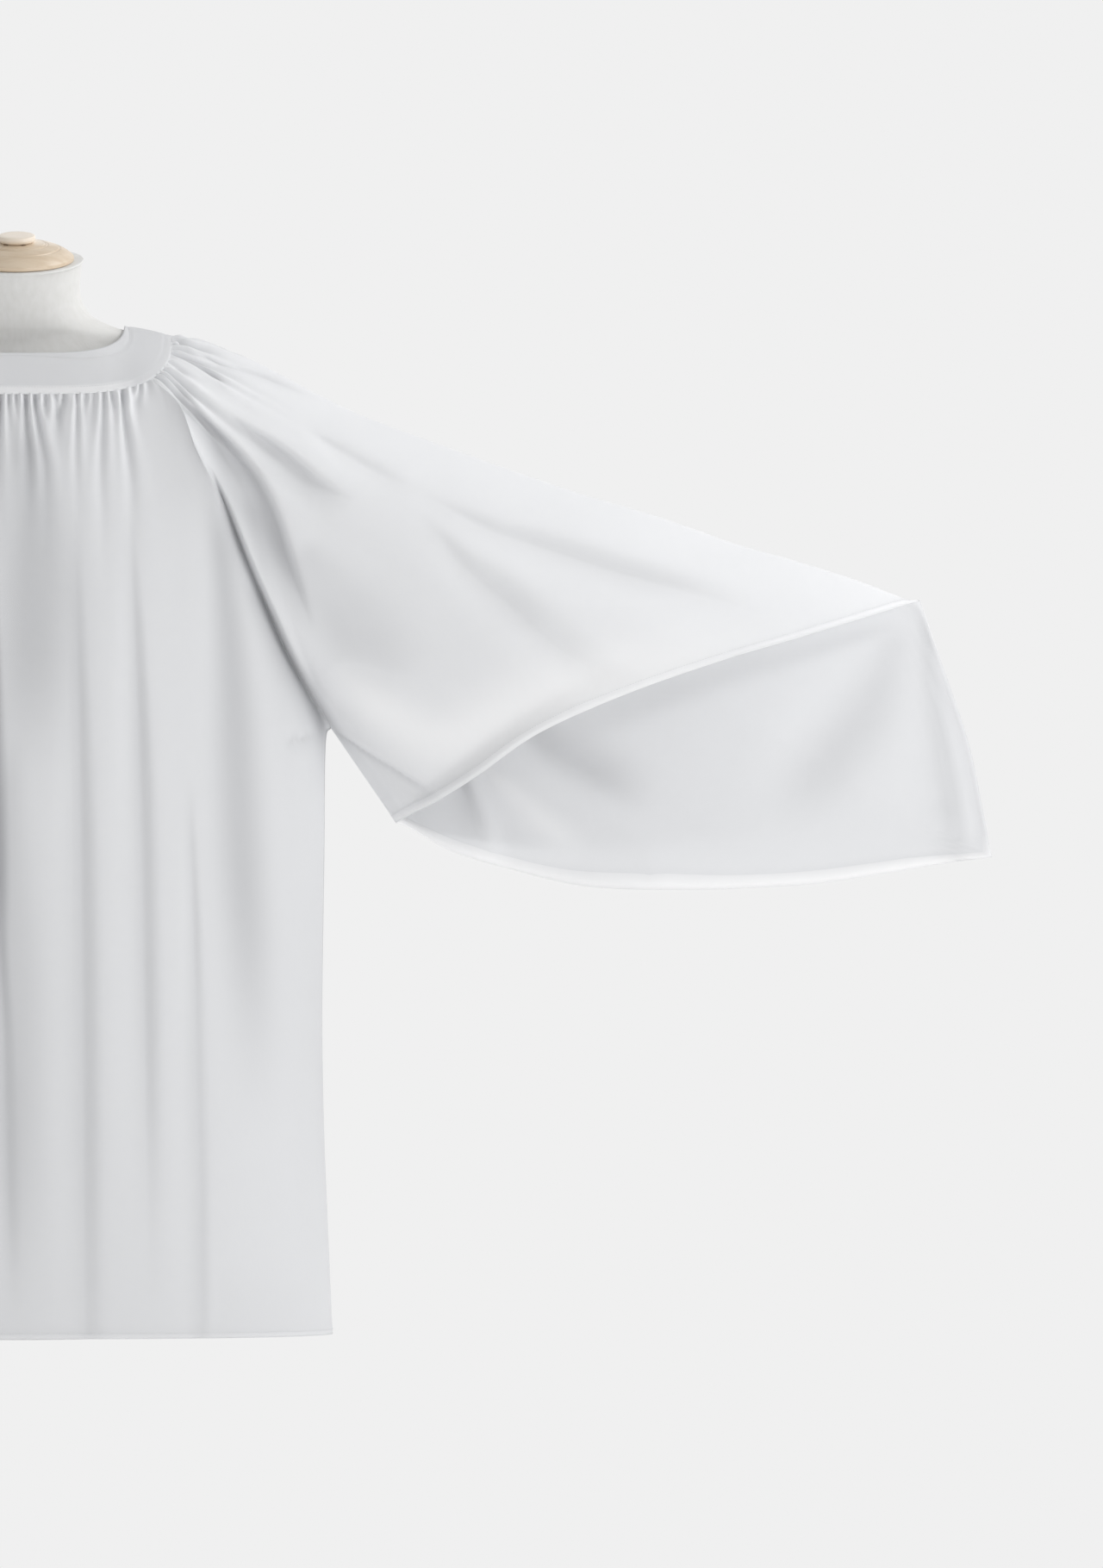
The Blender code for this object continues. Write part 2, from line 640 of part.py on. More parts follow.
def make_stand(paint):
    """Round foot with its hub, and the pole between it and the torso."""
    profile = [(0.0, HUB_HEIGHT), (HUB_RADIUS - STAND_EDGE / 2, HUB_HEIGHT),
               (HUB_RADIUS, HUB_HEIGHT - STAND_EDGE / 2), (HUB_RADIUS, FOOT_THICKNESS + STAND_EDGE),
               (HUB_RADIUS + STAND_EDGE, FOOT_THICKNESS), (FOOT_RADIUS - STAND_EDGE, FOOT_THICKNESS),
               (FOOT_RADIUS, FOOT_THICKNESS - STAND_EDGE), (FOOT_RADIUS, 0.0), (0.0, 0.0)]
    turned("foot", profile, paint, FOOT_SIDES)
    low = HUB_HEIGHT + SEAT_GAP
    high = HEM_HEIGHT + FORM_ROWS[0].z - SEAT_GAP
    bpy.ops.mesh.primitive_cylinder_add(vertices=POLE_SIDES, radius=POLE_RADIUS, depth=high - low,
                                        location=(0, 0, (low + high) / 2))
    pole = bpy.context.object
    pole.name = "pole"
    pole.data.materials.append(paint)
    pole.data.shade_smooth()
    pole.data.set_sharp_from_angle(angle=math.radians(40))
    for group in pole.users_collection:
        group.objects.unlink(pole)
    PART.objects.link(pole)


for leftover in list(bpy.data.objects):
    bpy.data.objects.remove(leftover)
PART = bpy.data.collections.new("surplice_on_dress_form")
bpy.context.scene.collection.children.link(PART)
make_garment(material("cotton", 0.85))
make_torso(material("jersey", 0.8))
make_cap(material("wood", 0.45))
make_stand(material("paint", 0.5))
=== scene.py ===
"""Looks of a white cotton surplice on a limbless dress form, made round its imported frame.

The cloth follows the surfaces that the solids follow, with finer gathers, folds, hems and
stitches. Metres, +X to the wearer's left, the front towards -Y.
"""
import math
from collections import namedtuple

import bmesh
import bpy
import numpy as np
from mathutils import Matrix, Vector


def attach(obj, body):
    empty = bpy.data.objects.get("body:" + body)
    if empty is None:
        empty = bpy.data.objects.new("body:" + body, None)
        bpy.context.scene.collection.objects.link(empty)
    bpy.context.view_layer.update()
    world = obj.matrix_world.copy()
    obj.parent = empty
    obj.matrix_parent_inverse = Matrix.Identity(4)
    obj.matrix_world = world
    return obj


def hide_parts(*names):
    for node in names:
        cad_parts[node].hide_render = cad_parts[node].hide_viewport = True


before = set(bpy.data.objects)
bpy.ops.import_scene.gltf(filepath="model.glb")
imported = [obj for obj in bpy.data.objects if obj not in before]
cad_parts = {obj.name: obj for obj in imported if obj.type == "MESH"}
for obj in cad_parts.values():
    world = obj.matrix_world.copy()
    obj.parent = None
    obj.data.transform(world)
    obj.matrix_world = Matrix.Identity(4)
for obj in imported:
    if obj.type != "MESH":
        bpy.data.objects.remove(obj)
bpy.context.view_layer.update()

# The faces that a fold can lie on: the inside is the sleeve's back, seen through its mouth
FRONT, BACK, INSIDE = -1, 1, 2

Point = namedtuple("Point", "x y z")
Ring = namedtuple("Ring", "half_width front back shoulder front_drop back_drop power")
SideRow = namedtuple("SideRow", "down shift")
Fold = namedtuple("Fold", "face points depth steep soft crest shade")
Gather = namedtuple("Gather", "at depth width reach drift")
FormRow = namedtuple("FormRow", "z half_width front back lean")
Notch = namedtuple("Notch", "turn half_width")
Finish = namedtuple("Finish", "colour roughness")
Lamp = namedtuple("Lamp", "name place target size power")

# Photograph: its frame, its scale, and the pixels of the garment's middle and of its hem
PHOTO_WIDTH = 1280
PHOTO_HEIGHT = 1820
METRES_PER_PIXEL = 0.0009
MIDDLE_PIXEL = 20
HEM_PIXEL = 1548

# Cloth, in metres
HEM_HEIGHT = 0.002
CLOTH_THICKNESS = 0.0008
HEM_THICKNESS = 0.0015
YOKE_THICKNESS = 0.0016
SEWN_WITHIN = 4e-5
BODY_HEM_DEPTH = 0.0065
FRONT_HEM_DEPTH = 0.0100
DROP_HEM_DEPTH = 0.0070
FOOT_HEM_DEPTH = 0.0180
HEM_STEP = 0.0006
MOUTH_CURL = 0.0012
FOLD_FREE_DEPTH = 0.022
FOLD_FREE_TOP = 0.030

# Yoke: its inner and outer edge are rounded squares seen from above, lying on the shoulders
YOKE_CORNER = 0.5
NECK_EDGE = Ring(half_width=0.112, front=0.085, back=0.078, shoulder=1.052,
                 front_drop=0.030, back_drop=0.020, power=1.5)
YOKE_EDGE = Ring(half_width=0.162, front=0.112, back=0.106, shoulder=1.0415,
                 front_drop=0.062, back_drop=0.046, power=1.35)
YOKE_CROWN = 0.0012
YOKE_ROWS = 27
RAGLAN_ANGLE = math.radians(50)

# Body
HEM_HALF_WIDTH = 0.329
HEM_FRONT = 0.165
HEM_BACK = 0.152
HEM_POWER = 0.90
HEM_GATHERED_SHARE = 0.53
BODY_FLARE = 0.55
BODY_FLARE_START = 0.015
SIDE_SHIFT_POWER = 8
RAW_ROWS = 160
BODY_ROW_COUNT = 110
BODY_ROW_POWER = 1.6

# Columns of the cloth meshes
PANEL_GATHERS = 30
CAP_GATHERS = 22
COLUMNS_PER_GATHER = 8
RAGLAN_COLUMNS = 70
SLEEVE_ROW_COUNT = 120
SLEEVE_ROW_POWER = 1.6
CAD_RAGLAN_STEPS = 8
CAD_CAP_STEPS = 22
CAD_CORNER_STEPS = 12
TOP_LINE_STEPS = 9
RIDGE_SOFTENING = 16
RIDGE_PASSES = 10
RING_STEPS = 960
HEM_STEPS = 360
FOLD_STEPS = 6
EASE_REACH = 0.30
EASE_HEM = 0.05
EASE_COLUMNS = 50
EASE_PASSES = 500

# Raglan seams of the left side below the yoke, z above the hem
RAGLAN_FRONT = [
    Point(0.172, -0.107, 0.968),
    Point(0.190, -0.113, 0.920),
    Point(0.219, -0.110, 0.865),
    Point(0.241, -0.102, 0.816),
    Point(0.264, -0.088, 0.761),
    Point(0.293, -0.064, 0.704),
    Point(0.314, -0.034, 0.662),
]
RAGLAN_BACK = [
    Point(0.174, 0.106, 0.972),
    Point(0.196, 0.110, 0.922),
    Point(0.222, 0.107, 0.868),
    Point(0.246, 0.098, 0.812),
    Point(0.268, 0.083, 0.758),
    Point(0.294, 0.060, 0.702),
    Point(0.314, 0.032, 0.662),
]
UNDERARM = Point(0.3275, 0.0, 0.6335)
SIDE_ROWS = [
    SideRow(0.00, 0.0),
    SideRow(0.03, -0.0058),
    SideRow(0.22, -0.0075),
    SideRow(0.47, -0.0100),
    SideRow(0.65, -0.0086),
    SideRow(0.80, -0.0052),
    SideRow(1.00, 0.0),
]

# Sleeve: its top line, and the two edges of its mouth, z above the hem
SLEEVE_TOP = [
    Point(0.199, 0.002, 1.0360),
    Point(0.238, 0.002, 1.0215),
    Point(0.278, 0.002, 1.0010),
    Point(0.344, 0.002, 0.9675),
    Point(0.414, 0.001, 0.9405),
    Point(0.570, 0.000, 0.8860),
    Point(0.673, 0.000, 0.8555),
    Point(0.756, 0.000, 0.8270),
    Point(0.811, 0.000, 0.8120),
    Point(0.879, 0.000, 0.7910),
    Point(0.943, 0.000, 0.7665),
]
MOUTH_FRONT = [
    Point(0.943, 0.000, 0.7665),
    Point(0.879, -0.040, 0.7465),
    Point(0.811, -0.070, 0.7255),
    Point(0.742, -0.092, 0.7050),
    Point(0.639, -0.110, 0.6690),
    Point(0.545, -0.110, 0.6270),
    Point(0.483, -0.093, 0.5840),
    Point(0.440, -0.064, 0.5570),
    Point(0.415, -0.036, 0.5445),
    Point(0.396, -0.004, 0.5340),
]
MOUTH_BACK_DROP = [
    Point(0.943, 0.000, 0.7665),
    Point(0.959, 0.024, 0.7210),
    Point(0.978, 0.046, 0.6700),
    Point(0.999, 0.064, 0.6040),
    Point(1.0205, 0.080, 0.4980),
]
MOUTH_BACK_FOOT = [
    Point(1.0205, 0.080, 0.4980),
    Point(0.967, 0.090, 0.4905),
    Point(0.860, 0.102, 0.4725),
    Point(0.792, 0.108, 0.4665),
    Point(0.702, 0.109, 0.4630),
    Point(0.595, 0.101, 0.4665),
    Point(0.510, 0.080, 0.4860),
    Point(0.4545, 0.050, 0.5030),
    Point(0.411, 0.014, 0.5270),
    Point(0.396, -0.004, 0.5340),
]
MOUTH_FRONT_CAP_SHARE = 0.60

# Folds of the left side: points (x, z) from top to bottom, z above the hem. Each is a trough with a
# steep outer wall, a soft inner one and a crest beyond the steep wall; a depth under zero makes a
# ridge. The shade is painted shade that greys the cloth in it; a shade under zero is a painted
# highlight that makes it whiter. A fold of depth zero is only painted shade or highlight.
FOLDS = [
    # the long fold beside the raglan seam, with the sleeve's fullness over it
    Fold(FRONT, [(0.192, 0.920), (0.2025, 0.901), (0.220, 0.862), (0.239, 0.812), (0.259, 0.763),
                 (0.283, 0.708), (0.313, 0.652), (0.330, 0.628), (0.346, 0.600), (0.362, 0.570)],
         0.024, 0.0052, 0.016, 0.002, 0.23),
    # painted shade only, widening the fold's lower end
    Fold(FRONT, [(0.240, 0.790), (0.266, 0.745), (0.290, 0.695), (0.318, 0.650), (0.340, 0.612),
                 (0.365, 0.570)], 0.0, 0.013, 0.020, 0.0, 0.15),
    # the second fold, from the yoke's corner down over the sleeve
    Fold(FRONT, [(0.166, 0.990), (0.187, 0.963), (0.208, 0.940), (0.220, 0.926), (0.234, 0.910),
                 (0.2505, 0.888), (0.268, 0.852), (0.281, 0.812), (0.297, 0.765), (0.312, 0.725)],
         0.017, 0.0060, 0.024, 0.001, 0.20),
    Fold(FRONT, [(0.240, 0.880), (0.272, 0.818), (0.302, 0.770), (0.345, 0.710), (0.390, 0.660)],
         0.006, 0.022, 0.024, 0.0, 0.10),
    # the third fold, that starts with a point
    Fold(FRONT, [(0.2205, 0.960), (0.236, 0.947), (0.267, 0.925), (0.290, 0.906), (0.311, 0.889),
                 (0.335, 0.874), (0.352, 0.864)], 0.010, 0.0060, 0.024, 0.001, 0.13),
    # painted shade beside the upper seam, with no hollow in the cloth
    Fold(FRONT, [(0.165, 1.000), (0.184, 0.960), (0.202, 0.925), (0.221, 0.885), (0.242, 0.845),
                 (0.268, 0.780)], 0.0, 0.014, 0.016, 0.0, 0.20),
    # short folds at the shoulder
    Fold(FRONT, [(0.154, 1.012), (0.170, 1.001), (0.190, 0.984)], 0.004, 0.0024, 0.005, 0.001, 0.14),
    Fold(FRONT, [(0.168, 1.018), (0.195, 1.006), (0.222, 0.980)], 0.004, 0.0045, 0.008, 0.001, 0.10),
    Fold(FRONT, [(0.186, 1.024), (0.212, 1.010), (0.248, 1.001), (0.286, 0.987), (0.320, 0.972)],
         0.005, 0.0050, 0.009, 0.002, 0.12),
    Fold(FRONT, [(0.300, 0.945), (0.328, 0.926), (0.365, 0.904), (0.420, 0.876)],
         0.004, 0.009, 0.014, 0.001, 0.03),
    # soft waves over the sleeve
    Fold(FRONT, [(0.404, 0.887), (0.484, 0.843), (0.531, 0.827), (0.623, 0.797), (0.700, 0.775),
                 (0.790, 0.745)], 0.008, 0.014, 0.030, 0.003, 0.05),
    Fold(FRONT, [(0.418, 0.860), (0.466, 0.802), (0.508, 0.769), (0.545, 0.735), (0.600, 0.695),
                 (0.660, 0.670)], 0.007, 0.016, 0.028, 0.002, 0.06),
    Fold(FRONT, [(0.295, 0.830), (0.335, 0.775), (0.378, 0.720), (0.425, 0.670)],
         0.005, 0.030, 0.030, 0.0, 0.11),
    # the turned lower edge of the sleeve's front
    Fold(FRONT, [(0.325, 0.634), (0.344, 0.622), (0.371, 0.604), (0.391, 0.592), (0.413, 0.578),
                 (0.430, 0.568), (0.450, 0.556)], 0.010, 0.0024, 0.012, 0.001, 0.22),
    # painted highlight only, over the sleeve's lower front, as if lit from below
    Fold(FRONT, [(0.325, 0.700), (0.385, 0.650), (0.450, 0.620), (0.540, 0.660), (0.660, 0.690),
                 (0.850, 0.730)], 0.0, 0.040, 0.050, 0.0, -0.75),
    # body, its folds with painted shade, the widest beside the sleeve and down the middle
    Fold(FRONT, [(0.200, 0.900), (0.212, 0.830), (0.220, 0.740), (0.225, 0.655), (0.227, 0.600),
                 (0.233, 0.493), (0.240, 0.400), (0.247, 0.290), (0.250, 0.200)],
         0.008, 0.026, 0.024, 0.0, 0.24),
    Fold(FRONT, [(0.182, 0.600), (0.187, 0.420), (0.190, 0.260), (0.193, 0.130), (0.194, -0.200)],
         0.003, 0.008, 0.014, 0.0, 0.09),
    Fold(FRONT, [(-0.020, 0.780), (-0.018, 0.640), (-0.0145, 0.500), (-0.0145, 0.400), (-0.016, 0.300)],
         0.008, 0.007, 0.012, 0.001, 0.26),
    Fold(FRONT, [(0.012, 0.960), (0.014, 0.850), (0.012, 0.700), (0.006, 0.560)],
         0.005, 0.045, 0.030, 0.0, 0.21),
    Fold(FRONT, [(0.002, 0.640), (-0.004, 0.500), (-0.002, 0.250), (0.003, 0.000)],
         0.005, 0.026, 0.030, 0.0, 0.12),
    Fold(FRONT, [(-0.012, 0.440), (-0.009, 0.340), (-0.008, 0.260), (-0.004, 0.110), (0.000, 0.000)],
         0.005, 0.009, 0.012, 0.0, 0.05),
    Fold(FRONT, [(0.062, 0.880), (0.070, 0.550), (0.078, -0.200)], 0.007, 0.012, 0.024, 0.001, 0.06),
    Fold(FRONT, [(0.118, 0.900), (0.132, 0.560), (0.142, 0.000)], 0.007, 0.011, 0.022, 0.001, 0.06),
    # underarm wrinkle
    Fold(FRONT, [(0.278, 0.616), (0.300, 0.622), (0.322, 0.626)], 0.003, 0.004, 0.005, 0.0, 0.06),
    # back
    Fold(BACK, [(0.178, 0.968), (0.196, 0.922), (0.222, 0.868), (0.246, 0.812), (0.268, 0.758),
                (0.294, 0.702), (0.326, 0.640)], 0.022, 0.005, 0.016, 0.003, 0.45),
    Fold(BACK, [(0.180, 0.985), (0.215, 0.950), (0.252, 0.910), (0.285, 0.862), (0.310, 0.800)],
         0.016, 0.005, 0.020, 0.002, 0.26),
    Fold(BACK, [(0.215, 1.000), (0.290, 0.950), (0.360, 0.890), (0.410, 0.830)],
         0.010, 0.006, 0.020, 0.002, 0.12),
    Fold(BACK, [(0.380, 0.890), (0.480, 0.820), (0.580, 0.765), (0.680, 0.720)],
         0.009, 0.020, 0.030, 0.002, 0.06),
    Fold(BACK, [(0.215, 0.860), (0.232, 0.520), (0.240, 0.200), (0.244, -0.250)],
         0.007, 0.016, 0.026, 0.0, 0.10),
    Fold(BACK, [(0.040, 0.960), (0.052, 0.500), (0.060, 0.000), (0.064, -0.450)],
         0.008, 0.012, 0.024, 0.0, 0.07),
    Fold(BACK, [(0.108, 0.950), (0.122, 0.560), (0.130, 0.100), (0.134, -0.350)],
         0.007, 0.011, 0.022, 0.0, 0.07),
    Fold(BACK, [(0.158, 0.900), (0.172, 0.400), (0.178, 0.000), (0.181, -0.250)],
         0.006, 0.012, 0.022, 0.0, 0.05),
    Fold(BACK, [(-0.012, 0.900), (-0.006, 0.400), (-0.010, 0.000), (-0.012, -0.300)],
         0.005, 0.014, 0.018, 0.0, 0.05),
    # inside of the sleeve's back, that shows through its mouth, with painted shadow under the front edge,
    # painted shade in patches and a painted highlight
    Fold(INSIDE, [(0.930, 0.745), (0.900, 0.690), (0.862, 0.640), (0.822, 0.590), (0.775, 0.530)],
         -0.010, 0.034, 0.034, 0.0, 0.09),
    Fold(INSIDE, [(0.946, 0.760), (0.955, 0.700), (0.966, 0.640), (0.976, 0.580), (0.988, 0.470),
                  (0.990, 0.400)], 0.004, 0.012, 0.014, 0.001, 0.16),
    # painted shadow only, under the front edge
    Fold(INSIDE, [(0.930, 0.745), (0.811, 0.708), (0.742, 0.688), (0.639, 0.650), (0.520, 0.600)],
         0.0, 0.014, 0.016, 0.0, 0.10),
    Fold(INSIDE, [(0.462, 0.600), (0.478, 0.565), (0.491, 0.530), (0.503, 0.485)],
         0.008, 0.009, 0.011, 0.0, 0.0),
    Fold(INSIDE, [(0.454, 0.620), (0.463, 0.580), (0.470, 0.545), (0.478, 0.500)],
         0.0, 0.016, 0.018, 0.0, 0.10),
    Fold(INSIDE, [(0.500, 0.670), (0.546, 0.622), (0.598, 0.590), (0.670, 0.550)],
         -0.006, 0.028, 0.016, 0.0, 0.20),
    # a low ridge with a painted highlight on it
    Fold(INSIDE, [(0.480, 0.600), (0.512, 0.572), (0.560, 0.530), (0.600, 0.500)],
         0.004, 0.014, 0.016, 0.0, -0.40),
]

# How folds open, start and end, and how grey or white they, the hems and the yoke are: painted shade
# greys them, painted highlight whitens them, and the hems are also whiter as doubled cloth
LAP_STEEP = 0.006
LAP_CURVE = 1.3
LAP_SHADE = 2.6
SHADE_START = 0.12
SHADE_FREE_DEPTH = 0.012
SHADE_FREE_TOP = 0.006
SHADE_LIMIT = 0.8
MIDDLE_FOLD = 0.030
# painted highlight on the yoke's strip below its stitch; painted shade in the gathers, over the whole body,
# over the yoke above its stitch and on its shoulders
YOKE_SHINE = 0.60
GATHER_SHADE = 0.14
GATHER_FULL = 0.006
BODY_PAINTED_SHADE = 0.04
YOKE_PAINTED_SHADE = 0.06
SHOULDER_PAINTED_SHADE = 0.13
SHOULDER_START = 0.095
SHOULDER_FADE = 0.035
# the hems are whiter as doubled cloth and with a painted highlight, set apart for the front, the drop and the
# body
FRONT_HEM_SHINE = 0.25
DROP_HEM_SHINE = 0.05
BODY_HEM_SHINE = 0.10
CREST_WIDTH = 0.015
CREST_REACH = 0.075
FOLD_NARROWEST = 0.45
FOLD_OPENING = 0.5
FOLD_START = 0.08
FOLD_START_SOFT = 12.0
FOLD_END = 0.42
RIGHT_FOLD_SHIFT = 0.009
RIGHT_FOLD_SCALE = 0.88

# Gathers: their ranges, how they start below the edge and fade, and the lips beside each valley
FRONT_SEED, BACK_SEED, LEFT_SEED, RIGHT_SEED = 11, 23, 37, 41
GATHER_JITTER = 0.28
GATHER_CLEARANCE = 0.007
GATHER_DEPTHS = (0.0034, 0.0080)
GATHER_WIDTHS = (0.0016, 0.0026)
GATHER_REACHES = (0.022, 0.030, 0.045, 0.070, 0.095)
GATHER_DRIFT = 0.006
GATHER_START = 0.55
GATHER_RISE = 0.008
GATHER_FADE = 1.6
GATHER_END = 0.010
LIP_HEIGHT = 0.35
LIP_PLACE = 2.2
LIP_WIDTH = 1.2

# Front gathers that show, by their distance from the middle along the yoke's edge
FRONT_GATHERS = [
    Gather(-0.0135, 0.0064, 0.0022, 0.085, -0.002),
    Gather(-0.0050, 0.0044, 0.0018, 0.040, 0.000),
    Gather(0.0030, 0.0040, 0.0018, 0.022, 0.001),
    Gather(0.0130, 0.0076, 0.0024, 0.075, 0.003),
    Gather(0.0220, 0.0066, 0.0024, 0.085, 0.010),
    Gather(0.0330, 0.0040, 0.0018, 0.022, 0.000),
    Gather(0.0440, 0.0050, 0.0020, 0.030, 0.001),
]

# Sections of the torso and neck, z above the hem
FORM_ROWS = [
    FormRow(0.330, 0.148, 0.094, 0.092, 0.0),
    FormRow(0.380, 0.164, 0.104, 0.108, 0.0),
    FormRow(0.450, 0.170, 0.108, 0.112, 0.0),
    FormRow(0.550, 0.156, 0.104, 0.096, 0.0),
    FormRow(0.630, 0.152, 0.104, 0.090, 0.0),
    FormRow(0.730, 0.166, 0.114, 0.098, 0.0),
    FormRow(0.830, 0.184, 0.114, 0.106, 0.0),
    FormRow(0.910, 0.196, 0.107, 0.104, 0.0),
    FormRow(0.970, 0.205, 0.092, 0.092, 0.0),
    FormRow(1.004, 0.207, 0.073, 0.074, 0.0),
    FormRow(1.022, 0.199, 0.060, 0.062, 0.0),
    FormRow(1.0332, 0.172, 0.052, 0.054, 0.0),
    FormRow(1.0422, 0.140, 0.050, 0.052, 0.0),
    FormRow(1.0512, 0.102, 0.054, 0.055, 0.1),
    FormRow(1.066, 0.075, 0.058, 0.058, 0.3),
    FormRow(1.088, 0.066, 0.062, 0.058, 0.7),
    FormRow(1.123, 0.068, 0.071, 0.055, 1.0),
]
FORM_SIDES = 96
FORM_STEPS = 6
NECK_TILT = math.radians(14)
CAP_FORWARD = 0.0105
CAP_FOOT = 0.0045
CAP_RADIUS = 0.0595
KNOB_RADIUS = 0.0195
SEAT_GAP = 0.0003

# Stitches, and the gathers' tuck under the yoke
YOKE_TUCK = 0.0007
TUCK_REACH = 0.005
YOKE_LIP = 0.0008
STITCH_PITCH = 0.0030
STITCH_LENGTH = 0.0022
STITCH_WIDTH = 0.00045
HEM_MARGIN = 0.0010
HEM_RISE = 0.0012
YOKE_STITCH = 0.0085
NECK_STITCH = 0.0480
YOKE_RISE = 0.0009
STITCH_GROOVE = 0.0007
STITCH_GROOVE_WIDTH = 0.0016

# Colours and finishes
COTTON = Finish((0.800, 0.806, 0.820), 0.92)
# whiter colour of doubled hems and of painted highlight, and the dark colour of painted shade
HEM_AND_PAINTED_HIGHLIGHT_COLOUR = (0.95, 0.95, 0.955)
PAINTED_SHADE_COLOUR = (0.10, 0.105, 0.12)
THREAD = Finish((0.80, 0.805, 0.815), 0.85)
THREAD_SHADE = (0.66, 0.67, 0.69)
TWIST_SCALE = 900.0
JERSEY = Finish((0.86, 0.857, 0.845), 0.9)
JERSEY_SHADE = (0.74, 0.735, 0.71)
WOOD = Finish((0.70, 0.58, 0.44), 0.5)
WOOD_DARK = (0.60, 0.47, 0.33)
# painted highlight on the knob, which faces up
KNOB_PAINTED_HIGHLIGHT = (0.92, 0.84, 0.74)
KNOB_FOOT = 1.135
KNOB_FADE = 0.006
KNOB_LIGHTER = 0.75
GRAIN_SCALE = 28.0
GRAIN_STRETCH = (1, 3.5, 5)
GRAIN_CONTRAST = (0.35, 0.72)
# dark colour of the notches: painted shade in the knob's recesses
PAINTED_RECESS_SHADE = Finish((0.18, 0.12, 0.07), 0.8)
RECESS_LIGHT = (0.26, 0.18, 0.11)
PORE_SCALE = 1200.0
PEEL_SCALE = 700.0
PAINT = Finish((0.80, 0.80, 0.80), 0.42)
CREASE_SCALE = 14.0
CREASE_HEIGHT = 0.0022
WEAVE_COUNT = 2200.0
WEAVE_SHARE = 0.03
SLUB_SCALE = 90.0
SLUB_TINT = (0.965, 0.968, 0.972)
KNIT_RADIUS = 0.12
KNIT_COUNT = 900.0

# Finer shape of the torso's rolled band, of the cap and of its knob
BAND_STEPS = 7
BAND_THICKNESS = 0.0016
TORSO_CREASE = math.radians(50)
CAP_SIDES = 160
CAP_STEPS = 14
CAP_CREASE = math.radians(38)
CAP_EDGE = 0.0008
CAP_CHAMFER = 0.0012

# Turned cap: (radius, height) over its dome, and (share of the knob's radius, inset, height) of its knob
CAP_DOME = [(0.0215, 0.0146), (0.028, 0.0137), (0.036, 0.0119), (0.044, 0.0094),
            (0.051, 0.0060), (0.0565, 0.0022), (CAP_RADIUS, -0.0004)]
CAP_KNOB = [(0, 0.0, 0.0226), (0, -0.010, 0.0228), (1, 0.0025, 0.0230), (1, 0.0007, 0.0223), (1, 0.0, 0.0208),
            (1, 0.0, 0.0176), (1, 0.0008, 0.0163), (1, 0.003, 0.0155), (1, 0.0010, 0.0148)]
NOTCHES = [Notch(-0.65, 0.0026), Notch(0.45, 0.0024)]
NOTCH_PLACE = (0, 0.0008 - KNOB_RADIUS, 0.0152)
NOTCH_DEPTH = 0.0012
NOTCH_HEIGHT = 0.0011
GROOVES = (0.0300, 0.0325, 0.0450)
GROOVE_DEPTH = 0.0007
GROOVE_WIDTH = 0.0007

# Studio
SENSOR = 36.0
CAMERA_DISTANCE = 16.0
CAMERA_REACH = 300.0
AMBIENT = 0.50
BACKDROP_GLOW = 0.871
BACKDROP_FILL = 1.02
STUDIO_SIZE = (50.0, 57.0, 64.0)
LAMPS = [
    Lamp("side lamp", (2.2, -1.65, 0.75), (0.7, 0.0, 0.65), (1.4, 1.4), 17.0),
    Lamp("top lamp", (2.1, 0.2, 2.9), (0.8, 0.0, 0.75), (1.6, 1.6), 41.0),
]


# Curves

def smooth_curve(points, steps=24):
    """Points of a Catmull-Rom curve through the given ones."""
    knots = np.array(points, float)
    knots = np.vstack([2 * knots[0] - knots[1], knots, 2 * knots[-1] - knots[-2]])
    t = np.linspace(0, 1, steps, endpoint=False)[:, None]
    spans = []
    for i in range(1, len(knots) - 2):
        a, b, c, d = knots[i - 1:i + 3]
        spans.append(0.5 * (2 * b + (c - a) * t + (2 * a - 5 * b + 4 * c - d) * t ** 2
                            + (3 * b - a - 3 * c + d) * t ** 3))
    return np.vstack(spans + [knots[-2:-1]])


def at_shares(curve, shares):
    """Points of a dense curve at the given shares of its length."""
    steps = np.linalg.norm(np.diff(curve, axis=0), axis=1)
    length = np.concatenate([[0], np.cumsum(steps)])
    wanted = np.array(shares) * length[-1]
    return np.stack([np.interp(wanted, length, curve[:, k]) for k in range(curve.shape[1])], axis=1)


def smooth_step(value):
    """Value from 0 to 1 with soft ends."""
    value = np.clip(value, 0, 1)
    return value * value * (3 - 2 * value)


def ring_point(ring, angle):
    """Point of an edge of the yoke: angle 0 is the front middle, 90 degrees the left shoulder."""
    side = math.copysign(abs(math.sin(angle)) ** YOKE_CORNER, math.sin(angle))
    face = math.copysign(abs(math.cos(angle)) ** YOKE_CORNER, math.cos(angle))
    depth, drop = (ring.front, ring.front_drop) if face > 0 else (ring.back, ring.back_drop)
    height = ring.shoulder - drop * abs(face) ** ring.power
    return np.array([side * ring.half_width, -face * depth, HEM_HEIGHT + height])


def edge_between(ring, start, end, count):
    """Evenly spaced points of an edge of the yoke between two angles, both ends included."""
    dense = np.array([ring_point(ring, a) for a in np.linspace(start, end, RING_STEPS + 1)])
    return at_shares(dense, np.linspace(0, 1, count + 1))


def lifted(points, side=1):
    """Table points in world metres, mirrored for the right side."""
    return np.array([(side * p.x, p.y, HEM_HEIGHT + p.z) for p in points])


def raglan(side, face):
    """Raglan seam from the yoke's edge down to the underarm."""
    angle = RAGLAN_ANGLE if face == FRONT else math.pi - RAGLAN_ANGLE
    start = ring_point(YOKE_EDGE, side * angle)
    table = RAGLAN_FRONT if face == FRONT else RAGLAN_BACK
    curve = smooth_curve(np.vstack([start, lifted(table + [UNDERARM], side)]))
    return at_shares(curve, np.linspace(0, 1, RAGLAN_COLUMNS + 1))


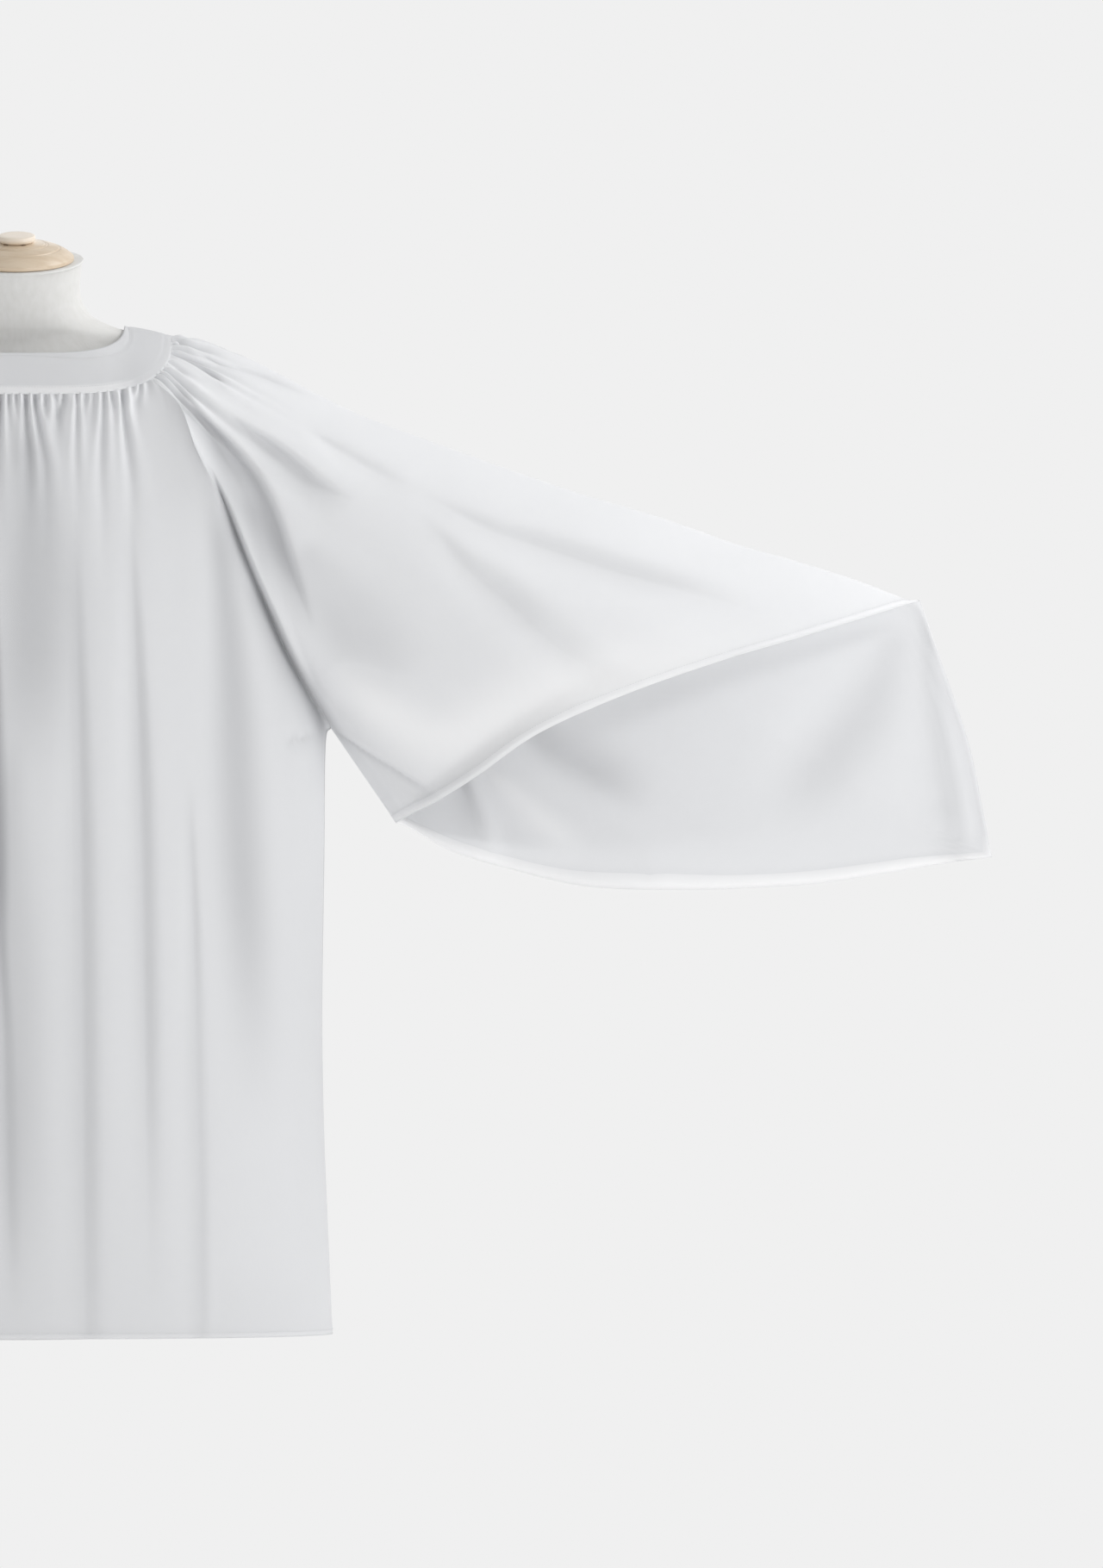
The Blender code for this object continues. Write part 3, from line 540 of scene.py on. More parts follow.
def hem_curve(side, face):
    """Half of the hem from the middle to the side seam."""
    depth = HEM_FRONT if face == FRONT else HEM_BACK
    angles = np.linspace(0, math.pi / 2, HEM_STEPS + 1)
    return np.array([(side * HEM_HALF_WIDTH * math.sin(a) ** HEM_POWER,
                      face * depth * math.cos(a) ** HEM_POWER, HEM_HEIGHT) for a in angles])


# Folds and gathers

def trough(points, fold, mirrored):
    """Depth and painted shade of one fold at an array of (x, z) places."""
    line = smooth_curve(fold.points, FOLD_STEPS)
    if mirrored:
        line = line * [-1, 1] - [RIGHT_FOLD_SHIFT, 0]
    best = np.full(len(points), 1e9)
    along = np.zeros(len(points))
    inward = np.zeros(len(points))
    steps = np.linalg.norm(np.diff(line, axis=0), axis=1)
    reach = np.concatenate([[0], np.cumsum(steps)])
    for i, step in enumerate(steps):
        way = (line[i + 1] - line[i]) / step
        offset = points - line[i]
        t = np.clip(offset @ way, 0, step)
        gap = np.linalg.norm(offset - t[:, None] * way, axis=1)
        nearer = gap < best
        best[nearer] = gap[nearer]
        along[nearer] = (reach[i] + t[nearer]) / reach[-1]
        inward[nearer] = (offset @ np.array([way[1], -way[0]]))[nearer]
    if mirrored:
        inward = -inward
    soft_side = inward > 0
    spread = FOLD_NARROWEST + (1 - FOLD_NARROWEST) * smooth_step(along / FOLD_OPENING)
    away = best / (np.where(soft_side, fold.soft, fold.steep) * spread)
    hollow = np.exp(-away ** 2)
    # grey: how the painted shade falls off across the fold
    grey = hollow
    if fold.steep < LAP_STEEP:
        hollow = np.where(soft_side, np.exp(-LAP_CURVE * away), hollow)
        grey = np.exp(-np.where(soft_side, LAP_SHADE, 1.0) * away)
    rise = np.maximum(-inward, 0) / CREST_WIDTH
    crest = rise * np.exp(1 - rise) * (best < CREST_REACH)
    end = smooth_step((1 - along) / FOLD_END) * (RIGHT_FOLD_SCALE if mirrored else 1.0)
    start = smooth_step(along / (FOLD_START + FOLD_START_SOFT * fold.soft))
    depth = start * end * (fold.depth * hollow - fold.crest * crest)
    return depth, smooth_step(along / SHADE_START) * end * fold.shade * grey


def fold_sums(flat, faces, part):
    """Sum of the depths (part 0) or painted shades (part 1) of some faces' folds, and how far past the yoke.
    """
    places = np.column_stack([flat[:, 0], flat[:, 2] - HEM_HEIGHT])
    total = np.zeros(len(flat))
    for fold in FOLDS:
        if fold.face not in faces:
            continue
        total += trough(places, fold, False)[part]
        if abs(fold.points[0][0]) > MIDDLE_FOLD:
            total += trough(places, fold, True)[part]
    yoke_foot = YOKE_EDGE.shoulder - (YOKE_EDGE.front_drop if FRONT in faces else YOKE_EDGE.back_drop)
    beside, below = np.abs(flat[:, 0]) - YOKE_EDGE.half_width, yoke_foot - places[:, 1]
    return total, np.maximum(np.maximum(beside, below), 0)


def with_folds(grid, face):
    """The grid with its folds pressed in, along Y."""
    flat = grid.reshape(-1, 3).copy()
    total, past_yoke = fold_sums(flat, (FRONT,) if face == FRONT else (BACK, INSIDE), 0)
    free = smooth_step(np.abs(flat[:, 1]) / FOLD_FREE_DEPTH) * smooth_step(past_yoke / FOLD_FREE_TOP)
    flat[:, 1] -= face * total * free
    return flat.reshape(grid.shape)


def fold_shade(grid, face):
    """How much painted shade greys the cloth in a face's folds, or painted highlight whitens it, at every
    place of the grid.
    """
    flat = grid.reshape(-1, 3)
    total, past_yoke = fold_sums(flat, (face,), 1)
    free = smooth_step(np.abs(flat[:, 1]) / SHADE_FREE_DEPTH) * smooth_step(past_yoke / SHADE_FREE_TOP)
    return (total * free).reshape(grid.shape[:2])


def gather_table(length, count, seed, kept=()):
    """Gathers along an edge of the given length, uneven in place, depth and reach."""
    chance = np.random.default_rng(seed)
    pitch = length / count
    rows = list(kept)
    for k in range(count):
        at = (k + 0.5 + chance.uniform(-GATHER_JITTER, GATHER_JITTER)) * pitch - length / 2
        if any(abs(at - row.at) < GATHER_CLEARANCE for row in kept):
            continue
        if kept and min(r.at for r in kept) < at < max(r.at for r in kept):
            continue
        rows.append(Gather(at, chance.uniform(*GATHER_DEPTHS), chance.uniform(*GATHER_WIDTHS),
                           float(chance.choice(GATHER_REACHES)), chance.uniform(-GATHER_DRIFT, GATHER_DRIFT)))
    return rows


def gather_lift(across, down, rows):
    """Signed height of the gathered cloth at places (across, down) in metres."""
    lift = np.zeros_like(across)
    opened = GATHER_START + (1 - GATHER_START) * smooth_step(down / GATHER_RISE)
    for row in rows:
        spread = row.width * (1 + down / row.reach)
        centre = row.at + row.drift * smooth_step(down / row.reach)
        fade = np.exp(-(down / row.reach) ** GATHER_FADE) * opened
        away = np.abs(across - centre) / spread
        lip = LIP_HEIGHT * np.exp(-((away - LIP_PLACE) / LIP_WIDTH) ** 2)
        lift += row.depth * fade * (lip - np.exp(-away ** 2))
    return lift


def gathered(across, down, rows, edge_length):
    """Height of the gathers below an edge, tucked in at the edge, and the painted shade in their valleys."""
    beyond = np.maximum(np.abs(across) - edge_length / 2, 0)
    lift = gather_lift(np.broadcast_to(across, down.shape), down, rows)
    lift *= np.exp(-(beyond / GATHER_END) ** 2)
    # painted shade in the gathers' valleys
    shade = GATHER_SHADE * np.clip(-lift / GATHER_FULL, 0, 1)
    tuck = YOKE_TUCK * np.exp(-(down / TUCK_REACH) ** 2 - (beyond / TUCK_REACH) ** 2)
    return lift - tuck, shade


# Panels

def panel_top(face):
    """Top edge of a body panel, from the right underarm over the yoke's edge to the left one."""
    columns = PANEL_GATHERS * COLUMNS_PER_GATHER
    if face == FRONT:
        top = edge_between(YOKE_EDGE, -RAGLAN_ANGLE, RAGLAN_ANGLE, columns)
    else:
        turn = math.pi - RAGLAN_ANGLE
        top = edge_between(YOKE_EDGE, -turn, turn - math.tau, columns)
    return np.vstack([raglan(-1, face)[:0:-1], top, raglan(1, face)[1:]])


def resampled(raw, row_count, power, hem_depth):
    """Grid with rows from the seam to the hem's edge and three in the hem, with both distances."""
    shares = np.linspace(0, 1, row_count) ** power
    depths = np.broadcast_to(hem_depth, raw.shape[1])
    grid = np.empty((row_count + 3, raw.shape[1], 3))
    down = np.empty(grid.shape[:2])
    for column, depth in enumerate(depths):
        line = raw[:, column]
        length = np.concatenate([[0], np.cumsum(np.linalg.norm(np.diff(line, axis=0), axis=1))])
        total = length[-1]
        places = [*(shares * (total - depth - HEM_STEP)), total - depth, total - depth / 2, total]
        down[:, column] = places
        for axis in range(3):
            grid[:, column, axis] = np.interp(places, length, line[:, axis])
    return grid, down, down[-1] - down


def eased(raw, closed, pinned):
    """The grid with the corners of its top edge eased out away from that edge and the pinned columns."""
    rows, columns = raw.shape[:2]
    share = np.linspace(0, 1, rows)
    leave = smooth_step(share / EASE_REACH) * smooth_step((1 - share) / EASE_HEM)
    gap = np.min([np.abs(np.arange(columns) - column) for column in pinned], axis=0)
    weight = leave[:, None] * smooth_step(gap / EASE_COLUMNS)[None, :]
    before, after = (slice(-2, -1), slice(1, 2)) if closed else (slice(0, 1), slice(-1, None))
    for _ in range(EASE_PASSES):
        left = np.concatenate([raw[:, before], raw[:, :-1]], axis=1)
        right = np.concatenate([raw[:, 1:], raw[:, after]], axis=1)
        raw = raw + 0.5 * weight[..., None] * (left + right - 2 * raw)
    return raw


def body_panel(face):
    """Mid surface of the front or back panel, with its gathers' heights."""
    top = panel_top(face)
    half = len(top) // 2
    even = half - RAGLAN_COLUMNS
    share = np.concatenate([np.linspace(0, HEM_GATHERED_SHARE, even + 1),
                            np.linspace(HEM_GATHERED_SHARE, 1, RAGLAN_COLUMNS + 1)[1:]])
    low = np.vstack([at_shares(hem_curve(-1, face), share)[:0:-1], at_shares(hem_curve(1, face), share)])
    side_curve = smooth_curve(SIDE_ROWS)
    edge = np.abs(np.arange(-half, half + 1) / half) ** SIDE_SHIFT_POWER
    least, most = BODY_FLARE_START ** BODY_FLARE, (1 + BODY_FLARE_START) ** BODY_FLARE
    rows = []
    for down in np.linspace(0, 1, RAW_ROWS) ** BODY_ROW_POWER:
        row = top + (low - top) * down
        flare = ((down + BODY_FLARE_START) ** BODY_FLARE - least) / (most - least)
        row[:, 1] = top[:, 1] + (low[:, 1] - top[:, 1]) * flare
        row[:, 0] += np.sign(row[:, 0]) * np.interp(down, side_curve[:, 0], side_curve[:, 1]) * edge
        rows.append(row)
    raw = eased(np.array(rows), False, (0, len(top) - 1))
    raw = with_folds(raw, face)
    grid, down, hem = resampled(raw, BODY_ROW_COUNT, BODY_ROW_POWER, BODY_HEM_DEPTH)
    across = edge_distance(top)
    yoke_length = across[half + even] - across[half - even]
    seed, kept = (FRONT_SEED, FRONT_GATHERS) if face == FRONT else (BACK_SEED, ())
    table = gather_table(yoke_length, PANEL_GATHERS, seed, kept)
    lift, shade = gathered(across, down, table, yoke_length)
    # painted shade: the gathers' valleys, the whole panel and its folds
    shade = shade + BODY_PAINTED_SHADE + fold_shade(grid, face)
    return {"grid": grid, "lift": lift, "down": down, "closed": False, "hem": hem, "shade": shade,
            "shine": np.full(grid.shape[1], BODY_HEM_SHINE), "hem_depth": BODY_HEM_DEPTH,
            "thickness": CLOTH_THICKNESS}


def edge_distance(points):
    """Distance along an edge from its middle point, signed."""
    steps = np.concatenate([[0], np.cumsum(np.linalg.norm(np.diff(points, axis=0), axis=1))])
    return steps - steps[len(points) // 2]


def sleeve_panel(side):
    """Mid surface of a sleeve: rows are loops from the underarm over the top and back."""
    cap_columns = CAP_GATHERS * COLUMNS_PER_GATHER
    cap = edge_between(YOKE_EDGE, side * RAGLAN_ANGLE, side * (math.pi - RAGLAN_ANGLE), cap_columns)
    armhole = np.vstack([raglan(side, -1)[:0:-1], cap, raglan(side, 1)[1:]])
    ridge = CAD_RAGLAN_STEPS + CAD_CAP_STEPS
    step = np.concatenate([
        np.linspace(0, CAD_RAGLAN_STEPS, RAGLAN_COLUMNS + 1),
        np.linspace(CAD_RAGLAN_STEPS, 2 * ridge - CAD_RAGLAN_STEPS, cap_columns + 1)[1:],
        np.linspace(2 * ridge - CAD_RAGLAN_STEPS, 2 * ridge, RAGLAN_COLUMNS + 1)[1:]])
    middle = len(step) // 2
    corner = ridge + CAD_CORNER_STEPS
    front = at_shares(smooth_curve(lifted(MOUTH_FRONT, side)),
                      np.interp(step[:middle], [0, CAD_RAGLAN_STEPS, ridge], [1, MOUTH_FRONT_CAP_SHARE, 0]))
    on_drop = step[middle:] <= corner
    drop = at_shares(smooth_curve(lifted(MOUTH_BACK_DROP, side)),
                     np.interp(step[middle:][on_drop], [ridge, corner], [0, 1]))
    foot = at_shares(smooth_curve(lifted(MOUTH_BACK_FOOT, side)),
                     np.interp(step[middle:][~on_drop], [corner, 2 * ridge], [0, 1]))
    mouth = np.vstack([front, drop, foot])
    top_line = smooth_curve(np.vstack([armhole[middle], lifted(SLEEVE_TOP, side)]))
    near_top = np.exp(-((step - ridge) / TOP_LINE_STEPS) ** 2)
    rows = []
    for out in np.linspace(0, 1, RAW_ROWS) ** SLEEVE_ROW_POWER:
        row = armhole + (mouth - armhole) * out
        row += near_top[:, None] * (at_shares(top_line, [out])[0] - row[middle])
        rows.append(row)
    raw = eased(np.array(rows), True, (0, middle, len(step) - 1))
    raw[:, :middle] = with_folds(raw[:, :middle], FRONT)
    raw[:, middle + 1:] = with_folds(raw[:, middle + 1:], BACK)
    raw[:, -1] = raw[:, 0]
    soften_ridge(raw, middle)
    hem_depth = np.interp(step, [ridge - 1, ridge + 1, corner - 1, corner + 2],
                          [FRONT_HEM_DEPTH, DROP_HEM_DEPTH, DROP_HEM_DEPTH, FOOT_HEM_DEPTH])
    hem_depth[-4:] = np.linspace(FOOT_HEM_DEPTH, FRONT_HEM_DEPTH, 4)
    grid, down, hem = resampled(raw, SLEEVE_ROW_COUNT, SLEEVE_ROW_POWER, hem_depth)
    across = edge_distance(armhole)
    cap_length = across[middle + cap_columns // 2] - across[middle - cap_columns // 2]
    table = gather_table(cap_length, CAP_GATHERS, LEFT_SEED if side > 0 else RIGHT_SEED)
    lift, shade = gathered(across, down, table, cap_length)
    # painted shade of the folds on both faces; the back's inner skin also takes the painted shade and painted
    # highlight inside the mouth
    shade[:, :middle] += fold_shade(grid[:, :middle], FRONT)
    shade[:, middle:] += fold_shade(grid[:, middle:], BACK)
    inner_shade = shade.copy()
    inner_shade[:, middle:] += fold_shade(grid[:, middle:], INSIDE)
    # hems whiter as doubled cloth and with a painted highlight, strongest on the back's foot
    shine = np.interp(step, [ridge - 1, ridge + 1, corner - 1, corner + 1],
                      [FRONT_HEM_SHINE, DROP_HEM_SHINE, DROP_HEM_SHINE, 1])
    lift[:, middle:] -= MOUTH_CURL * smooth_step(1 - hem[:, middle:] / hem_depth[middle:])
    return {"grid": grid, "lift": lift, "down": down, "closed": True, "hem": hem, "shade": shade,
            "inner_shade": inner_shade, "shine": shine, "hem_depth": hem_depth,
            "thickness": CLOTH_THICKNESS}


def soften_ridge(grid, middle):
    """Round the sleeve's top line off, more with every pass away from the shoulder and the mouth."""
    band = slice(middle - RIDGE_SOFTENING, middle + RIDGE_SOFTENING + 1)
    for _ in range(RIDGE_PASSES):
        part = grid[1:-1, band]
        soft = part.copy()
        soft[:, 1:-1] = 0.25 * part[:, :-2] + 0.5 * part[:, 1:-1] + 0.25 * part[:, 2:]
        grid[1:-1, band] = soft


def yoke_panel():
    """Mid surface of the yoke, rows from its outer edge to the neckline."""
    front, back = RAGLAN_ANGLE, math.pi - RAGLAN_ANGLE
    wide, cap = PANEL_GATHERS * COLUMNS_PER_GATHER, CAP_GATHERS * COLUMNS_PER_GATHER
    parts = [(-front, front, wide), (front, back, cap), (back, math.tau - back, wide),
             (math.tau - back, math.tau - front, cap)]
    edges = []
    for edge in (YOKE_EDGE, NECK_EDGE):
        ring = np.vstack([edge_between(edge, a, b, n)[:-1] for a, b, n in parts])
        edges.append(np.vstack([ring, ring[:1]]))
    outer, inner = edges
    lip = YOKE_LIP / np.linalg.norm(inner - outer, axis=1).mean()
    grid = np.array([outer + (inner - outer) * t for t in np.linspace(-lip, 1, YOKE_ROWS)])
    crown = YOKE_CROWN * np.sin(math.pi * np.linspace(0, 1, YOKE_ROWS))
    grid[:, :, 2] += crown[:, None]
    down = np.concatenate([np.zeros((1, grid.shape[1])),
                           np.cumsum(np.linalg.norm(np.diff(grid, axis=0), axis=2), axis=0)])
    lift = sum(-STITCH_GROOVE * np.exp(-((down - place) / STITCH_GROOVE_WIDTH) ** 2)
               for place in (YOKE_STITCH, NECK_STITCH))
    # painted shade over the yoke above its stitch and on its shoulders, painted highlight on the strip below
    # the stitch
    above = smooth_step((down - YOKE_STITCH) / STITCH_GROOVE_WIDTH)
    shoulder = smooth_step((np.abs(grid[..., 0]) - SHOULDER_START) / SHOULDER_FADE)
    shade = YOKE_PAINTED_SHADE * above - YOKE_SHINE * (1 - above) * (1 - shoulder) + SHOULDER_PAINTED_SHADE * shoulder
    return {"grid": grid, "lift": lift, "down": down, "closed": True, "shade": shade,
            "shine": np.zeros(grid.shape[1]), "hem": np.full(grid.shape[:2], 1.0), "hem_depth": 0.001,
            "thickness": YOKE_THICKNESS}


# Thin closed cloth from a panel's grid

def unit(vectors):
    """Vectors scaled to length 1."""
    length = np.linalg.norm(vectors, axis=-1, keepdims=True)
    return vectors / np.maximum(length, 1e-12)


def grid_normals(grid, closed):
    """Normals of a grid, from the differences along its rows and columns."""
    down = np.gradient(grid, axis=0)
    if closed:
        wide = np.concatenate([grid[:, -2:-1], grid, grid[:, 1:2]], axis=1)
        across = (wide[:, 2:] - wide[:, :-2]) / 2
    else:
        across = np.gradient(grid, axis=1)
    return unit(np.cross(across, down))


def rounded_key(point):
    """Key that two panels share where they are sewn together."""
    return tuple(np.round(np.asarray(point) / SEWN_WITHIN).astype(int))


def sewn_normals(panels):
    """Average the normals of every place that two panels share, so that the seams stay closed."""
    shared = {}
    for panel in panels:
        for index in border_indices(panel):
            key = rounded_key(panel["grid"][index])
            shared.setdefault(key, []).append(panel["normal"][index])
    for panel in panels:
        for index in border_indices(panel):
            found = shared[rounded_key(panel["grid"][index])]
            panel["normal"][index] = unit(np.sum(found, axis=0))


def border_indices(panel):
    """Row and column of every place on a panel's border."""
    rows, columns = panel["grid"].shape[:2]
    places = [(0, c) for c in range(columns)] + [(rows - 1, c) for c in range(columns)]
    if not panel["closed"]:
        places += [(r, 0) for r in range(rows)] + [(r, columns - 1) for r in range(rows)]
    return places


def cloth_mesh(name, panel):
    """Closed thin shell on a panel's mid surface, with UVs in metres and masks of white (doubled hems and
    painted highlight) and grey (painted shade).
    """
    grid, normal = panel["grid"], panel["normal"]
    rows, columns = grid.shape[:2]
    half = np.full((rows, columns), panel["thickness"] / 2)
    hem = smooth_step((panel["hem_depth"] - panel["hem"]) / HEM_STEP + 0.5)
    half += hem * (HEM_THICKNESS - panel["thickness"]) / 2
    surface = grid + normal * panel["lift"][..., None]
    outside = surface + normal * half[..., None]
    inside = surface - normal * half[..., None]
    count = columns - 1 if panel["closed"] else columns
    across = edge_distance(grid[0])
    drape = edge_distance(grid[rows // 2])
    share = np.linspace(0, 1, rows)[:, None]
    u_values = across * (1 - share) + drape * share
    verts = np.vstack([outside[:, :count].reshape(-1, 3), inside[:, :count].reshape(-1, 3)])
    inner = rows * count

    def at(row, column, base=0):
        return base + row * count + column % count

    faces, uvs = [], []
    for row in range(rows - 1):
        for column in range(columns - 1):
            corners = [(row, column), (row + 1, column), (row + 1, column + 1), (row, column + 1)]
            coordinates = [(u_values[r, c], -panel["down"][r, c]) for r, c in corners]
            faces.append([at(r, c) for r, c in corners])
            uvs.append(coordinates)
            faces.append([at(r, c, inner) for r, c in reversed(corners)])
            uvs.append(coordinates[::-1])
    rims = []
    for row in (0, rows - 1):
        for column in range(columns - 1):
            rims.append(((row, column + (row > 0)), (row, column + (row == 0))))
    if not panel["closed"]:
        for column in (0, columns - 1):
            for row in range(rows - 1):
                rims.append(((row + (column == 0), column), (row + (column > 0), column)))
    for a, b in rims:
        corners = [at(*a), at(*b), at(*b, inner), at(*a, inner)]
        coordinates = [(u_values[r, c], -panel["down"][r, c]) for r, c in (a, b, b, a)]
        faces.append(corners)
        uvs.append(coordinates)
    mesh = bpy.data.meshes.new(name)
    mesh.from_pydata(verts.tolist(), [], faces)
    layer = mesh.uv_layers.new(name="cloth")
    layer.data.foreach_set("uv", np.array(uvs, float).reshape(-1))
    # white: the hems' doubled cloth and painted highlight; grey: painted shade
    skins = [panel["shade"], panel.get("inner_shade", panel["shade"])]
    white = [np.clip(np.maximum(hem * panel["shine"], -shade), 0, 1) for shade in skins]
    grey = [np.clip(shade, 0, SHADE_LIMIT) for shade in skins]
    for label, values in (("hem", white), ("shade", grey)):
        mask = mesh.attributes.new(label, "FLOAT", "POINT")
        mask.data.foreach_set("value", np.concatenate([value[:, :count].reshape(-1) for value in values]))
    outward_faces(mesh)
    return mesh


def add_piece(name, mesh, material, node=None):
    """Piece of the visual model, its object at the origin; it may stand for a solid's node."""
    piece = bpy.data.objects.new(name, mesh)
    bpy.context.scene.collection.objects.link(piece)
    mesh.materials.append(material)
    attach(piece, "root")
    if node:
        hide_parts(node)
    return piece


def outward_faces(mesh):
    """Turn all faces of closed surfaces outward."""
    work = bmesh.new()
    work.from_mesh(mesh)
    bmesh.ops.recalc_face_normals(work, faces=work.faces)
    work.to_mesh(mesh)
    work.free()
    mesh.polygons.foreach_set("use_smooth", [True] * len(mesh.polygons))
    mesh.update()


# Materials

def add_node(tree, kind, inputs=None, **settings):
    """New node with its settings; each input takes a value or another node's output."""
    node = tree.nodes.new(kind)
    for name, value in settings.items():
        setattr(node, name, value)
    for name, value in (inputs or {}).items():
        if isinstance(value, bpy.types.NodeSocket):
            tree.links.new(value, node.inputs[name])
        else:
            node.inputs[name].default_value = value
    return node


def new_material(name, finish, gloss=None):
    """Material with a Principled shader of the given finish; gives it, its tree and its shader."""
    material = bpy.data.materials.new(name)
    material.use_nodes = True
    tree = material.node_tree
    shader = tree.nodes["Principled BSDF"]
    shader.inputs["Base Color"].default_value = (*finish.colour, 1)
    shader.inputs["Roughness"].default_value = finish.roughness
    for label, value in (gloss or {}).items():
        shader.inputs[label].default_value = value
    return material, tree, shader


def group_with(kind, name, inputs, outputs):
    """Empty node group with its interface sockets and its two end nodes."""
    group = bpy.data.node_groups.new(name, kind)
    for label, socket_type, value in inputs:
        socket = group.interface.new_socket(label, in_out="INPUT", socket_type=socket_type)
        if value is not None:
            socket.default_value = value
    for label, socket_type in outputs:
        group.interface.new_socket(label, in_out="OUTPUT", socket_type=socket_type)
    return group, group.nodes.new("NodeGroupInput"), group.nodes.new("NodeGroupOutput")


def math_node(tree, operation, *values):
    """Result of an operation on sockets or numbers."""
    return add_node(tree, "ShaderNodeMath", dict(enumerate(values)), operation=operation).outputs[0]


def object_place(tree):
    """Place on the piece, in metres."""
    return add_node(tree, "ShaderNodeTexCoord").outputs["Object"]


def noise(tree, place, scale, detail=2.0, distortion=0.0):
    """Cloudy value from 0 to 1 at a place."""
    inputs = {"Vector": place, "Scale": scale, "Detail": detail, "Distortion": distortion}
    return add_node(tree, "ShaderNodeTexNoise", inputs).outputs["Fac"]


def mixed(tree, first, second, factor, blend="MIX"):
    """Colour between two, each a colour or another node's output."""
    first, second = [(*end, 1) if isinstance(end, tuple) else end for end in (first, second)]
    mix = add_node(tree, "ShaderNodeMix", {"A": first, "B": second, "Factor": factor},
                   data_type="RGBA", blend_type=blend)
    return mix.outputs["Result"]


def between(tree, value, low, high):
    """Value from 0 to 1 as it goes from low to high."""
    inputs = {"Value": value, "From Min": low, "From Max": high}
    return add_node(tree, "ShaderNodeMapRange", inputs).outputs[0]


def add_relief(tree, shader, height, strength, distance):
    """Bump on the shader from a height."""
    bump = add_node(tree, "ShaderNodeBump", {"Height": height, "Strength": strength, "Distance": distance})
    tree.links.new(bump.outputs[0], shader.inputs["Normal"])


def add_roughness(tree, shader, pattern, share, least):
    """Roughness that follows a pattern."""
    rough = math_node(tree, "ADD", math_node(tree, "MULTIPLY", pattern, share), least)
    tree.links.new(rough, shader.inputs["Roughness"])


def weave_group():
    """Plain weave: height of the threads at a UV in metres, and slow unevenness of the cloth."""
    group, start, end = group_with(
        "ShaderNodeTree", "plain weave",
        [("Vector", "NodeSocketVector", None), ("Threads per metre", "NodeSocketFloat", WEAVE_COUNT)],
        [("Height", "NodeSocketFloat"), ("Unevenness", "NodeSocketFloat")])
    split = add_node(group, "ShaderNodeSeparateXYZ", {0: start.outputs["Vector"]})
    threads = []
    for axis in ("X", "Y"):
        turns = math_node(group, "MULTIPLY", split.outputs[axis], start.outputs["Threads per metre"])
        threads.append(math_node(group, "SINE", math_node(group, "MULTIPLY", turns, math.tau)))
    group.links.new(math_node(group, "MULTIPLY", *threads), end.inputs["Height"])
    group.links.new(noise(group, start.outputs["Vector"], SLUB_SCALE, 5.0), end.inputs["Unevenness"])
    return group


def cotton_material(weave):
    """Fine white cotton: weave, soft creases, brighter doubled hems with painted highlight, and painted shade
    in the folds.
    """
    material, tree, shader = new_material("white cotton", COTTON, {
        "Sheen Weight": 0.12, "Sheen Roughness": 0.5, "Specular IOR Level": 0.2})
    uv = add_node(tree, "ShaderNodeUVMap", uv_map="cloth").outputs[0]
    threads = add_node(tree, "ShaderNodeGroup", {"Vector": uv}, node_tree=weave)
    relief = math_node(tree, "MULTIPLY", threads.outputs["Height"], WEAVE_SHARE)
    creases = noise(tree, object_place(tree), CREASE_SCALE, 4.0)
    add_relief(tree, shader, math_node(tree, "ADD", relief, creases), 0.6, CREASE_HEIGHT)
    hem, shade = [add_node(tree, "ShaderNodeAttribute", attribute_name=name).outputs["Fac"]
                  for name in ("hem", "shade")]
    # whiter where the hems are doubled and where a painted highlight lies
    tint = mixed(tree, COTTON.colour, HEM_AND_PAINTED_HIGHLIGHT_COLOUR, hem)
    uneven = math_node(tree, "MULTIPLY", threads.outputs["Unevenness"], 0.5)
    tone = mixed(tree, tint, SLUB_TINT, uneven, "MULTIPLY")
    # painted shade greys the folds, gathers, body and yoke
    tree.links.new(mixed(tree, tone, PAINTED_SHADE_COLOUR, shade), shader.inputs["Base Color"])
    return material


def speckled_material(name, finish, other, scale):
    """Finish whose colour wavers finely towards another, as in twisted thread or end grain."""
    material, tree, shader = new_material(name, finish)
    specks = noise(tree, object_place(tree), scale)
    tree.links.new(mixed(tree, finish.colour, other, specks), shader.inputs["Base Color"])
    return material


def jersey_material(weave):
    """Ivory knitted cover of the torso, its stitches counted round it and up it."""
    material, tree, shader = new_material("ivory jersey", JERSEY, {"Sheen Weight": 0.2})
    split = add_node(tree, "ShaderNodeSeparateXYZ", {0: object_place(tree)})
    angle = math_node(tree, "ARCTAN2", split.outputs["Y"], split.outputs["X"])
    round_it = math_node(tree, "MULTIPLY", angle, KNIT_RADIUS)
    wrapped = add_node(tree, "ShaderNodeCombineXYZ", {"X": round_it, "Y": split.outputs["Z"]}).outputs[0]
    knit = add_node(tree, "ShaderNodeGroup", {"Vector": wrapped, "Threads per metre": KNIT_COUNT},
                    node_tree=weave)
    add_relief(tree, shader, knit.outputs["Height"], 0.5, 0.0003)
    tone = mixed(tree, JERSEY.colour, JERSEY_SHADE, knit.outputs["Unevenness"])
    tree.links.new(tone, shader.inputs["Base Color"])
    return material


